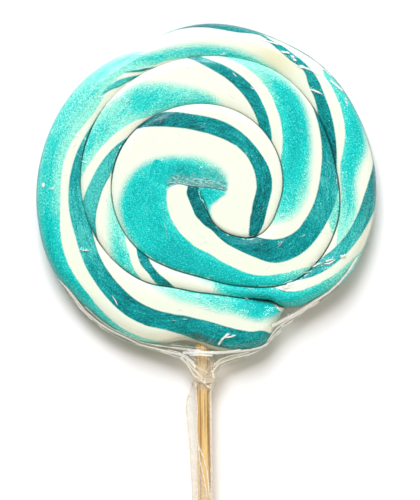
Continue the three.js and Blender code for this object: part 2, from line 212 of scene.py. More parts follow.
def curve_through(knots, straight_on=False):
    """A smooth curve through (x, y) knots, level beyond both ends or going straight on."""
    xs, ys = np.array(knots, float).T
    rise = np.diff(ys) / np.diff(xs)
    run = np.diff(xs)
    slope = np.empty(len(xs))
    slope[0], slope[-1] = rise[0], rise[-1]
    slope[1:-1] = (rise[:-1] * run[1:] + rise[1:] * run[:-1]) / (run[:-1] + run[1:])

    def curve(x):
        x = np.asarray(x, float)
        i = np.clip(np.searchsorted(xs, x, side="right") - 1, 0, len(xs) - 2)
        h = xs[i + 1] - xs[i]
        s = np.clip((x - xs[i]) / h, 0, 1)
        y = (
            (2 * s**3 - 3 * s**2 + 1) * ys[i]
            + (s**3 - 2 * s**2 + s) * h * slope[i]
            + (3 * s**2 - 2 * s**3) * ys[i + 1]
            + (s**3 - s**2) * h * slope[i + 1]
        )
        if straight_on:
            y = y + slope[0] * np.minimum(x - xs[0], 0) + slope[-1] * np.maximum(x - xs[-1], 0)
        return y

    return curve


def length_along(line):
    """Length from a line's first point to each of its points."""
    return np.concatenate([[0], np.cumsum(np.linalg.norm(np.diff(line, axis=0), axis=1))])


def resampled(line, shares):
    """Points at shares of the length of a line of (n, k) points."""
    length = length_along(line)
    return np.stack([np.interp(shares * length[-1], length, line[:, k]) for k in range(line.shape[1])], 1)


rope_edge = curve_through(ROPE_EDGE)
fold_line = curve_through(FOLD_LINE)
patch_edge = curve_through(PATCH_EDGE)


def face_height(radius):
    return THICKNESS - DOME * (radius / DOME_RADIUS) ** 2


def lifted(z):
    """Heights of the sugar as it lies on the film's lower layer."""
    return LIFT + z * (1 - LIFT / THICKNESS)


def inner_edge(degrees):
    return np.where(degrees + TURN < ROPE_END, rope_edge(degrees + TURN), 0)


def edge_depth(degrees, upper):
    """How far the rope's outer edge lies below the face, or above the underside."""
    half = face_height(rope_edge(degrees)) / 2
    if upper:
        seam = SEAM_DEPTH * (1 - smooth(CENTRE_CALM, ROPE_END, degrees))
    else:
        seam = UNDER_DEPTH * (1 - smooth(UNDER_CALM, CENTRE_CALM, degrees))
    return mix(half, seam, smooth(ROPE_START + TURN, ROPE_START + TURN + NOTCH, degrees))


def bank(distance, width, depth):
    """A quarter-round bank that goes down by depth over its width towards a seam or the rim."""
    inside = np.clip(distance / np.maximum(width, 1e-6), 0, 1)
    return depth * (1 - np.sqrt(np.maximum(1 - (1 - inside) ** 2, 0)))


def on_disc(degrees, radius):
    angle = np.radians(degrees)
    return -radius * np.sin(angle), -radius * np.cos(angle)


def bearing_of(x, y):
    """The degrees at which points of the plan lie round the disc, from -180 to 180."""
    return np.degrees(np.arctan2(-x, -y))


def above_fold(x, y):
    """Distance above the fold's line in mm, and how far a point is within its two ends, from 0 to 1."""
    starts = smooth(FOLD_LINE[0][0], FOLD_LINE[1][0], x)
    ends = smooth(FOLD_LINE[-2][0], FOLD_LINE[-1][0], x)
    return y - fold_line(x), starts * (1 - ends)


def fold_drop(x, y):
    above, across = above_fold(x, y)
    gentle = np.clip(1 - above / FOLD_ABOVE, 0, 1) ** 2
    steep = np.clip(1 + above / FOLD_BELOW, 0, 1) ** 2
    return FOLD_DEPTH * across * np.where(above > 0, gentle, steep)


def across_rope(degrees, share, upper):
    """Points across the rope from its outer edge (share 0) to its inner edge (share 1)."""
    outer, inner = rope_edge(degrees), inner_edge(degrees)
    width = np.maximum(outer - inner, 0)
    radius = outer - share * width
    past = ROPE_START + TURN
    on_rim = 1 - smooth(past, past + NOTCH, degrees)
    inner_on_rim = 1 - smooth(past, past + NOTCH, degrees + TURN)
    steep, gentle = (SEAM_STEEP, SEAM_GENTLE) if upper else (UNDER_BANK, UNDER_BANK)
    outer_bank = np.minimum(mix(steep, RIM_ROUND, on_rim), width / 2)
    inner_bank = np.minimum(mix(gentle, RIM_ROUND, inner_on_rim), width / 2)
    inner_depth = np.where(degrees + TURN < ROPE_END, edge_depth(degrees + TURN, upper), 0)
    drop = bank(share * width, outer_bank, edge_depth(degrees, upper))
    drop = drop + bank((1 - share) * width, inner_bank, inner_depth)
    face = face_height(radius)
    taper = mix(TAPER_HEIGHT, 1, smooth(ROPE_START, ROPE_START + TAPER, degrees))
    x, y = on_disc(degrees, radius)
    height = face - drop - fold_drop(x, y) if upper else drop
    return x, y, face / 2 + (height - face / 2) * taper


def stripe_fields(stripes, degrees, share, upper, reach):
    """Distance in mm into the nearest stripe, below 0 outside it, and which of its edges is nearer.

    Under the disc a stripe comes back from the rim the other way, so its lines are mirrored about their
    starts.
    """
    width = np.maximum(rope_edge(degrees) - inner_edge(degrees), 0.01)
    radius = np.maximum(rope_edge(degrees) - share * width, 1)
    best = np.full(degrees.shape, -1e3)
    side = np.zeros(degrees.shape)
    for lines in stripes:
        gaps = []
        for knots in lines:
            line = curve_through(knots, straight_on=True)
            at = degrees if upper else 2 * knots[0][0] - degrees
            slope = (line(at + 0.5) - line(at - 0.5)) * width / (radius * math.radians(1))
            gaps.append((line(at) - share) * width / np.sqrt(1 + slope**2))
        inside = [gaps[0], -gaps[1]] if upper else [-gaps[0], gaps[1]]
        depth = np.minimum(*inside)
        nearer = depth > best
        best = np.where(nearer, depth, best)
        side = np.where(nearer, inside[0] - inside[1], side)
    return np.clip(best, -reach, reach), np.clip(side, -1, 1)


def new_mesh(name, points, faces, smooth_angle=50):
    mesh = bpy.data.meshes.new(name)
    mesh.from_pydata([tuple(p) for p in np.asarray(points) * MM], [], faces)
    mesh.update()
    mesh.polygons.foreach_set("use_smooth", np.ones(len(mesh.polygons), bool))
    mesh.set_sharp_from_angle(angle=math.radians(smooth_angle))
    obj = bpy.data.objects.new(name, mesh)
    bpy.context.scene.collection.objects.link(obj)
    return obj


def set_attributes(obj, domain, **fields):
    """Named numbers or vectors for the mesh's points or face corners."""
    for name, values in fields.items():
        values = np.ascontiguousarray(values, dtype=np.float32)
        kind, key = ("FLOAT_VECTOR", "vector") if values.ndim == 2 else ("FLOAT", "value")
        attribute = obj.data.attributes.new(name, kind, domain)
        attribute.data.foreach_set(key, values.ravel())


def cosine_shares(count):
    """Shares from 0 to 1 that are closest together at both ends."""
    return (1 - np.cos(np.pi * np.arange(count + 1) / count)) / 2


STATION_STEP = 1.25
STATIONS = round((ROPE_END - ROPE_START) / STATION_STEP)
PER_TURN = round(TURN / STATION_STEP)
STATION_DEGREES = ROPE_START + np.arange(STATIONS + 1) * STATION_STEP
# The shares at which the mesh crosses the rope, on its upper face and on its underside.
SHARES = {True: cosine_shares(60), False: cosine_shares(24)}


def rope_skin():
    """The sugar's points and faces, and for each face corner whether it is on top, its degrees and share."""
    degrees = STATION_DEGREES
    rim_x, rim_y = on_disc(degrees, rope_edge(degrees))
    face = face_height(rope_edge(degrees))
    points = [
        np.stack([rim_x, rim_y, face - edge_depth(degrees, True)], 1),
        np.stack([rim_x, rim_y, edge_depth(degrees, False)], 1),
    ]
    # Round the rim the upper and lower face share their edge. Further in each has its own.
    edges = {True: np.arange(STATIONS + 1), False: np.arange(STATIONS + 1)}
    edges[False][PER_TURN + 1:] += STATIONS + 1
    total = 2 * (STATIONS + 1)
    faces, where, start = [], [], {}
    for upper, shares in SHARES.items():
        count = len(shares) - 1
        grid_degrees, grid_shares = np.meshgrid(degrees[:-1], shares[1:-1], indexing="ij")
        inside = np.stack(across_rope(grid_degrees, grid_shares, upper), -1).reshape(-1, 3)
        points.append(inside)
        middle = edges[upper][-1]
        index = np.full((STATIONS + 1, count + 1), middle)
        index[:, 0] = edges[upper]
        index[:-1, 1:-1] = total + np.arange(len(inside)).reshape(STATIONS, count - 1)
        inner = np.arange(STATIONS + 1) + PER_TURN
        index[:, -1] = np.where(inner < STATIONS, edges[upper][np.minimum(inner, STATIONS)], middle)
        total += len(inside)
        index = index.tolist()
        start[upper] = index[0]
        for s in range(STATIONS):
            for i in range(count):
                ring = [(index[a][b], a, b) for a, b in ((s, i), (s + 1, i), (s + 1, i + 1), (s, i + 1))]
                corners = [c for n, c in enumerate(ring) if c[0] != ring[n - 1][0]]
                if len({c[0] for c in corners}) < 3:
                    continue
                if not upper:
                    corners.reverse()
                faces.append([c[0] for c in corners])
                where.extend((upper, degrees[c[1]], shares[c[2]]) for c in corners)
    # The rope's outer end is one flat face.
    faces.append((start[True] + start[False][1:-1][::-1])[::-1])
    end_shares = [*SHARES[True], *SHARES[False][1:-1][::-1]]
    where.extend((True, ROPE_START, share) for share in end_shares[::-1])
    points = np.concatenate(points)
    used = np.unique(np.concatenate([np.array(f) for f in faces]))
    renumber = np.zeros(len(points), int)
    renumber[used] = np.arange(len(used))
    faces = [[int(renumber[v]) for v in f] for f in faces]
    on_top, at, share = np.array(where, float).T
    return points[used], faces, on_top > 0, at, share


# The stretch of the rope that lies above the fold, and how far from the middle the fold colours it.
FOLD_STRETCH = (690, 840)
FOLD_REACH = 14
FOLD_RIGHT = 5.2
# The patch below the fold colours the rope's last stretch, and the inner edge of the stretch above the fold.
PATCH_LAST = 1000
PATCH_STRETCH = (690, 835)
PATCH_SHARE = 0.93
PATCH_Y = (-7, 0.3)
PATCH_SLANT = 0.8
# Towards the middle both edges of the cyan get equally soft, and by the fold and the patch they are.
EVEN_SIDE = -0.15
EVEN_FROM, EVEN_TO = 930, 985
# How far from its edges a stripe's distances are told.
DARK_REACH, CYAN_REACH = 1.5, 4
# Where along the rope the cream is tan, in degrees.
WARM_AT, WARM_SPREAD = 208, 9
FAR = 9  # further from a seam or the rim than its line is wide
# How dark the painted shade is along the fold.
FOLD_SEAM_LINE = 0.95
UNDER_SHIFT = 50  # the underside's streaks differ from the face's


def candy_mesh():
    points, faces, on_top, at, share = rope_skin()
    points[:, 2] = lifted(points[:, 2])
    obj = new_mesh("candy", points, faces, 60)
    width = rope_edge(at) - inner_edge(at)
    x, y = on_disc(at, rope_edge(at) - share * width)
    radius = np.hypot(x, y)
    above, across = above_fold(x, y)

    def both_faces(stripes, reach):
        depth, side = np.empty(len(at)), np.empty(len(at))
        for upper in (True, False):
            chosen = on_top == upper
            depth[chosen], side[chosen] = stripe_fields(stripes, at[chosen], share[chosen], upper, reach)
        return depth, side

    by_fold = on_top & between(*FOLD_STRETCH, at) & (radius < FOLD_REACH) & (x < FOLD_RIGHT) & (above > -0.3)
    patch = PATCH_SLANT * (patch_edge(y) - x)
    near_patch = (at > PATCH_LAST) | ((share > PATCH_SHARE) & between(*PATCH_STRETCH, at))
    in_patch = on_top & between(*PATCH_Y, y) & (patch > -1) & near_patch
    dark, dark_side = both_faces(DARK_STRIPES, DARK_REACH)
    dark = np.where(by_fold, np.minimum(dark, -above), dark)
    cyan, cyan_side = both_faces(CYAN_STRIPES, CYAN_REACH)
    evened = np.minimum(cyan_side, mix(1, EVEN_SIDE, smooth(EVEN_FROM, EVEN_TO, at)))
    cyan_side = np.where(at > EVEN_FROM, evened, cyan_side)
    cyan_side = np.where(in_patch | by_fold, EVEN_SIDE, cyan_side)
    cyan = np.where(by_fold, np.maximum(cyan, np.minimum(above, CYAN_REACH)), cyan)
    cyan = np.where(in_patch, np.maximum(cyan, patch), cyan)

    to_outer = np.where(at > ROPE_START + TURN, share * width, FAR)
    to_inner = np.where(at < ROPE_END - TURN, (1 - share) * width, FAR)
    to_seam = np.minimum(to_outer, to_inner)
    seam = np.where(on_top & (across > 0.5), np.minimum(to_seam, 1.5 * np.abs(above)), FAR)
    seam = np.where(across > 0.5, seam, to_seam)
    # How dark the painted shade along each seam is, and along the fold.
    seam_line = curve_through(SEAM_LINE)(np.where(to_outer < to_inner, at, at + TURN))
    seam_line = np.where(to_outer + to_inner > 2 * FAR - 1, FOLD_SEAM_LINE, seam_line)

    # The pinched strip above the fold, with painted shade of its slope, painted shade in the hollow round it,
    # and a tan patch of the cream.
    pressed = across * on_top * (radius < 12) * smooth(-0.2, 0, above) * (1 - smooth(1.4, 3.0, above))
    hollow = smooth(13, 10, radius) * smooth(-10, -6, x) * smooth(6, 3, x)
    # Painted shade over the hollow above the fold.
    sunk = on_top * hollow * smooth(-0.1, 0.1, above) * smooth(6.5, 3.5, above)
    warm = on_top * np.exp(-(((at - WARM_AT) / WARM_SPREAD) ** 2)) * smooth(0.3, 0.5, share)

    turned = rope_edge(STATION_DEGREES)[1:] * np.diff(np.radians(STATION_DEGREES))
    along = np.interp(at, STATION_DEGREES, np.concatenate([[0], np.cumsum(turned)]))
    set_attributes(
        obj,
        "CORNER",
        dark=dark,
        dark_side=dark_side,
        cyan=cyan,
        cyan_side=cyan_side,
        seam=seam,
        seam_line=seam_line,
        rim=np.where(at < ROPE_START + TURN, share * width, FAR),
        rim_line=curve_through(RIM_LINE)(at),
        pressed=pressed,
        sunk=sunk,
        warm=warm,
        frost=curve_through(FROST)(at),
        pale=curve_through(PALE)(at),
        rope=np.stack([along, share * width, np.where(on_top, 0, UNDER_SHIFT)], 1),
    )
    return obj


# ---- Node helpers ----


class Nodes:
    """A material's node tree, with short calls for the nodes used here."""

    def __init__(self, name):
        self.material = bpy.data.materials.new(name)
        self.material.use_nodes = True
        self.tree = self.material.node_tree
        self.tree.nodes.clear()
        self.output = self.tree.nodes.new("ShaderNodeOutputMaterial")

    def node(self, kind, inputs, **settings):
        """A node. An input, by its place or name, is linked to a socket or set to a value."""
        node = self.tree.nodes.new("ShaderNode" + kind)
        for key, value in settings.items():
            setattr(node, key, value)
        for key, value in inputs.items():
            if isinstance(value, bpy.types.NodeSocket):
                self.tree.links.new(value, node.inputs[key])
            elif value is not None:
                node.inputs[key].default_value = value
        return node

    def shader(self, kind, **inputs):
        """A shader whose inputs are given by name, with _ for a space."""
        return self.node(kind, {key.replace("_", " "): value for key, value in inputs.items()}).outputs[0]

    def finish(self, surface):
        self.tree.links.new(surface, self.output.inputs["Surface"])
        return self.material

    def math(self, operation, a, b=0.0, c=0.0):
        return self.node("Math", {0: a, 1: b, 2: c}, operation=operation).outputs[0]

    def plus(self, a, b):
        return self.math("ADD", a, b)

    def times(self, a, b):
        return self.math("MULTIPLY", a, b)

    def swayed(self, value, noise, amount):
        """A value that a noise moves up and down."""
        return self.math("MULTIPLY_ADD", self.math("SUBTRACT", noise, 0.5), amount, value)

    def ramp(self, value, low, high, to_low=0.0, to_high=1.0):
        """A smooth step from to_low, where value is low, to to_high."""
        inputs = {"Value": value, "From Min": low, "From Max": high, "To Min": to_low, "To Max": to_high}
        return self.node("MapRange", inputs, interpolation_type="SMOOTHSTEP").outputs[0]

    def mix(self, share, a, b):
        return self.node("Mix", {0: share, 6: a, 7: b}, data_type="RGBA").outputs[2]

    def tinted(self, tone, factor):
        """A colour times a number."""
        return self.node("VectorMath", {0: tone, "Scale": factor}, operation="SCALE").outputs[0]

    def attribute(self, name, output="Fac"):
        return self.node("Attribute", {}, attribute_name=name).outputs[output]

    def place(self):
        return self.node("TexCoord", {}).outputs["Object"]

    def noise(self, vector, scale, detail, roughness, distortion=0.0):
        """Noise at one scale, or at a scale of its own along each axis."""
        if isinstance(scale, tuple):
            vector = self.node("VectorMath", {0: vector, 1: scale}, operation="MULTIPLY").outputs[0]
            scale = 1.0
        inputs = {"Vector": vector, "Scale": scale, "Detail": detail, "Roughness": roughness}
        return self.node("TexNoise", {**inputs, "Distortion": distortion}).outputs["Fac"]

    def bump(self, height, distance, strength, normal=None):
        inputs = {"Height": height, "Distance": distance, "Strength": strength, "Normal": normal}
        return self.node("Bump", inputs).outputs[0]


LIGHT_LEVEL = 0.93


def colour(red, green, blue):
    """The base colour that shows as an 8-bit sRGB colour in this scene's light."""
    def linear(c):
        c /= 255
        return (c / 12.92 if c <= 0.04045 else ((c + 0.055) / 1.055) ** 2.4) * LIGHT_LEVEL
    return (linear(red), linear(green), linear(blue), 1.0)


def candy_material():
    n = Nodes("boiled_sugar")
    rope, place = n.attribute("rope", "Vector"), n.place()
    dark, dark_side = n.attribute("dark"), n.attribute("dark_side")
    cyan, cyan_side = n.attribute("cyan"), n.attribute("cyan_side")
    streaks = n.noise(rope, (0.22, 1.6, 1.0), 4, 0.6)
    cloud = n.noise(rope, (0.1, 0.25, 1.0), 3, 0.55)
    mottle = n.noise(rope, (0.5, 1.2, 1.0), 4, 0.6)
    grain = n.noise(rope, (1.9, 4.6, 1.0), 3, 0.65)
    dust = n.noise(place, 3200, 2, 0.6)
    wobble = n.math("MULTIPLY_ADD", n.noise(rope, (0.35, 0.8, 1.0), 3, 0.6), 0.5, -0.25)
    ragged = n.math("MULTIPLY_ADD", n.noise(rope, (2.6, 2.6, 1.0), 2, 0.6), 0.3, -0.15)

    # Cream sugar, with its tan patch.
    cream = n.mix(n.ramp(mottle, 0.3, 0.7), colour(246, 249, 230), colour(242, 250, 236))
    tan = n.times(n.attribute("warm"), n.ramp(grain, 0.35, 0.6, 0.35, 0.9))
    cream = n.mix(tan, cream, colour(230, 226, 184))

    # Cyan sugar, which is crisp at a stripe's one edge, soft at its other, and frosty in places.
    # The frost is partly painted glare of the film.
    cyan_at = n.plus(cyan, wobble)
    soft = n.ramp(cyan_side, -0.4, 0.4, 0.2, 1.2)
    cyan_share = n.ramp(n.plus(cyan_at, ragged), n.times(soft, -1.0), soft)
    frost = n.swayed(n.attribute("frost"), cloud, 0.9)
    frost = n.plus(frost, n.ramp(cyan_at, 3.2, 0.0, -0.22, 0.22))
    frost = n.swayed(n.swayed(frost, streaks, 1.1), grain, 1.9)
    tone = n.mix(n.ramp(frost, -0.3, 0.4), colour(0, 180, 180), colour(16, 210, 203))
    tone = n.mix(n.ramp(frost, 0.35, 1.15), tone, colour(154, 240, 220))
    # Painted shade darkens the cyan in the hollow above the fold.
    tone = n.tinted(tone, n.ramp(n.attribute("sunk"), 0.0, 1.0, 1.0, 0.76))
    # The pinched strip: frosty grey-blue sugar, its darker grey partly painted shade of its slope.
    ripple = n.noise(place, (1100, 4200, 1100), 3, 0.6, 0.6)
    pinched = n.mix(n.ramp(ripple, 0.4, 0.6), colour(60, 140, 145), colour(170, 224, 220))
    tone = n.mix(n.times(n.attribute("pressed"), 0.85), tone, pinched)
    tone = n.mix(n.ramp(dust, 0.56, 0.68, 0.0, 0.4), tone, colour(110, 246, 236))
    base = n.mix(cyan_share, cream, tone)

    # Dark teal sugar, with a light cyan halo, paler streaks, partly painted film glare, and a painted shadow
    # along one edge, where the cream overlaps it.
    dark_at = n.plus(n.math("MULTIPLY_ADD", wobble, 0.35, dark), n.times(ragged, 0.8))
    crisp = n.ramp(dark_side, -0.5, 0.5, 0.16, 0.06)
    dark_share = n.ramp(dark_at, n.times(crisp, -1.0), crisp)
    base = n.mix(n.ramp(dark_at, -0.3, 0.05, 0.0, 0.8), base, colour(120, 218, 208))
    # The dark teal's paler streaks are partly painted film glare.
    pale = n.swayed(n.attribute("pale"), streaks, 1.5)
    pale = n.swayed(n.swayed(pale, grain, 1.1), cloud, 0.9)
    tone = n.mix(n.ramp(pale, -0.15, 0.6), colour(0, 84, 92), colour(0, 156, 158))
    tone = n.mix(n.ramp(pale, 0.5, 1.15), tone, colour(76, 200, 194))
    tone = n.mix(n.ramp(dust, 0.58, 0.68, 0.0, 0.4), tone, colour(60, 205, 198))
    # Painted shadow in a thin dark line along the edge that the cream overlaps.
    line = n.times(n.ramp(dark_at, 0.35, 0.0), n.ramp(dark_side, 0.2, -0.5))
    line = n.times(line, n.ramp(mottle, 0.3, 0.6, 0.2, 0.9))
    tone = n.mix(line, tone, colour(0, 56, 62))
    base = n.mix(dark_share, base, tone)

    # Painted shade in a dark line down each seam, with a painted highlight on the lip beside it in places,
    # and painted shade in a dark line along the rim.
    seam = n.plus(n.attribute("seam"), n.times(ragged, 0.8))
    seam_line = n.attribute("seam_line")
    # The painted shade: a thin dark line down the seam, wavy and broken.
    crack = n.times(n.ramp(seam, 0.28, 0.06), seam_line)
    base = n.mix(n.times(crack, 0.9), base, colour(8, 72, 72))
    # A painted highlight, in broken bits, on the lip beside a dark seam.
    lip = n.times(n.ramp(seam, 0.26, 0.36), n.ramp(seam, 0.6, 0.44))
    lip = n.times(lip, n.ramp(mottle, 0.52, 0.6))
    base = n.mix(n.times(lip, n.ramp(seam_line, 0.7, 0.95)), base, colour(235, 250, 242))
    # Painted shade in a thin line at the rim's very edge.
    rim = n.times(n.ramp(n.attribute("rim"), 0.7, 0.15), n.attribute("rim_line"))
    base = n.mix(n.times(rim, n.ramp(cloud, 0.35, 0.6, 0.5, 1.0)), base, colour(40, 116, 112))

    # The grain shows in the coloured sugar, and hardly in the cream.
    shade = n.times(n.ramp(grain, 0.3, 0.7, 0.78, 1.22), n.ramp(dust, 0.35, 0.65, 0.84, 1.16))
    coloured = n.math("MAXIMUM", cyan_share, dark_share)
    depth = n.math("MULTIPLY_ADD", dark_share, 0.4, n.ramp(coloured, 0.0, 1.0, 0.07, 1.0))
    base = n.tinted(base, n.math("MULTIPLY_ADD", n.math("SUBTRACT", shade, 1.0), depth, 1.0))
    bumps = n.bump(grain, 0.00004, 0.2, n.bump(streaks, 0.0001, 0.3))
    return n.finish(n.shader("BsdfPrincipled", Base_Color=base, Roughness=0.3, IOR=1.25, Normal=bumps))


# ---- The stick ----

STICK_RADIUS = 1.65
STICK_LENGTH = 145
STICK_TOP = -8
STICK_X = -1.45
STICK_LEAN = 1
STICK_CHAMFER = 0.3
STICK_SIDES = 48
STICK_RINGS = 60


def stick_axis_x(y):
    return STICK_X + (STICK_TOP - y) * math.tan(math.radians(STICK_LEAN))


def stick_mesh():
    straight = np.linspace(STICK_CHAMFER, STICK_LENGTH - STICK_CHAMFER, STICK_RINGS)
    downs = [0, *straight, STICK_LENGTH]
    end = STICK_RADIUS - STICK_CHAMFER
    radii = [end] + [STICK_RADIUS] * STICK_RINGS + [end]
    lean = math.radians(STICK_LEAN)
    points, faces = [], []
    for down, radius in zip(downs, radii):
        for k in range(STICK_SIDES):
            angle = 2 * math.pi * k / STICK_SIDES
            across, up = radius * math.cos(angle), radius * math.sin(angle)
            x = STICK_X + across * math.cos(lean) + down * math.sin(lean)
            y = STICK_TOP + across * math.sin(lean) - down * math.cos(lean)
            points.append((x, y, MID_HEIGHT + up))
    for ring in range(len(downs) - 1):
        here = np.arange(STICK_SIDES) + ring * STICK_SIDES
        faces += band(here, here + STICK_SIDES)
    faces.append(list(range(STICK_SIDES)))
    faces.append([len(points) - 1 - k for k in range(STICK_SIDES)])
    return new_mesh("wooden_stick", points, faces, 30)


def band(last, here):
    """The faces between two closed rings, given by the numbers of their points."""
    return np.stack([last, here, np.roll(here, -1), np.roll(last, -1)], 1).tolist()


def wood_material():
    n = Nodes("stick_wood")
    place = n.place()
    grain = n.noise(place, (1900, 30, 1900), 4, 0.62)
    tone = n.noise(place, (700, 14, 700), 2, 0.5)
    base = n.mix(n.ramp(grain, 0.36, 0.52), colour(150, 92, 34), colour(250, 214, 142))
    base = n.mix(n.ramp(tone, 0.4, 0.65, 0, 0.3), base, colour(238, 188, 104))
    bumps = n.bump(grain, 0.00012, 0.6)
    return n.finish(n.shader("BsdfPrincipled", Base_Color=base, Roughness=0.6, Normal=bumps))


# ---- The film ----

FILM_GAP = 0.14
FILM_FLOOR = 0.02
# Between these degrees the film stands clear of the rim, and it lifts off over the fade.
FILM_FROM, FILM_TO, FILM_FADE = -66, 60, 12
# Between these it runs into the neck.
NECK_FROM, NECK_TO = -2.6, 3.4
NECK_REACH = 45.6
NECK_SWELL = 41.5
NECK_HALF_HEIGHT = 2.6
EDGE_HALF_HEIGHT = 0.25
EDGE_WAVE = 0.12
MEAN_RIM = 41
TAIL_END = -80.4

# How far out the film's edge is where it stands free, as (degrees, mm).
FILM_EDGE = [
    (-66, 40.4), (-50, 39.5), (-37, 38), (-27, 39.1), (-18, 41.2), (-13, 41.8), (-8, 42.4), (-4.5, 43.3),
    (-2.6, 45.6), (3.4, 45.7), (5.2, 43.8), (8.7, 41.6), (14, 41.1), (33, 41.9), (50, 42.1), (60, 42.1),
]

# The tail's left and right edge, at distances down from the neck.
TAIL_LEFT = [
    (0, -2.8), (2.8, -3.8), (5.2, -4.65), (7.6, -4.9), (11.2, -4.55), (15, -4.1), (20, -3.8), (29, -3.35),
    (36, -3.5),
]
TAIL_RIGHT = [(0, 2.1), (1.2, 2.15), (2.6, 1.55), (8, 1.5), (20, 1.5), (36, 1.6)]

# Where the tail's flap ends that lies over the stick, as (y, x).
FLAP_EDGE = [(-74.4, 0.3), (-70, -0.4), (-65.6, -1.45), (-62.2, -1.9), (-57.8, -2.2)]

# Sharp folds of the film over the sugar, each with a painted glint: their course, half width and height.
FOLDS = [
    ([(18, 32.6), (20, 32.4)], 0.3, 0.35),
    ([(20.6, 32.1), (20.8, 31.4), (21.3, 30.5)], 0.3, 0.35),
    ([(21.1, 29.5), (22.3, 28.9), (23.5, 29.2)], 0.35, 0.4),
    ([(23.2, 28.9), (25.1, 28.3), (26.8, 27.3)], 0.3, 0.35),
    ([(24.9, 23.7), (26.3, 23.1), (28, 22.4)], 0.35, 0.4),
    ([(29.9, 25.7), (31.4, 24.6), (32.8, 23.5)], 0.3, 0.35),
    ([(33.4, 22), (33.8, 19.8)], 0.25, 0.3),
    ([(12.5, 35.7), (14.9, 35.2), (17.5, 34.4)], 0.25, 0.3),
    ([(10.5, 36.1), (12.7, 36.2), (14.6, 35.7)], 0.2, 0.25),
    ([(27.3, 29.1), (28.7, 28.4), (29.9, 27.2)], 0.2, 0.25),
    ([(25.1, -19.1), (27.8, -17.8), (30.5, -17.1), (33.3, -16.2)], 0.35, 0.45),
    ([(27.8, -18.2), (29.5, -18.1), (31.1, -17.1)], 0.3, 0.35),
    ([(16.8, -24.6), (18.4, -23.6), (20.1, -22.9), (22, -22.5)], 0.4, 0.4),
    ([(17.2, -24), (19.2, -24.6), (21.1, -24.7)], 0.25, 0.3),
    ([(17.3, -24.4), (19.4, -23.8), (21.6, -23.5)], 0.6, 0.3),
    ([(3.1, -37.4), (3.8, -36.3), (4.9, -35.3), (6.5, -34.3)], 0.35, 0.4),
    ([(4.6, -35.8), (5.7, -35.7), (6.9, -35.3)], 0.25, 0.3),
    ([(-39.8, 1.2), (-38.1, 0.2), (-36.6, 0.1), (-35.4, 0.5)], 0.3, 0.35),
    ([(-30.4, -14.7), (-29, -15), (-27.8, -14.9)], 0.2, 0.3),
    ([(-22.5, -25.7), (-21.6, -27.1), (-21.1, -28.3)], 0.2, 0.25),
]
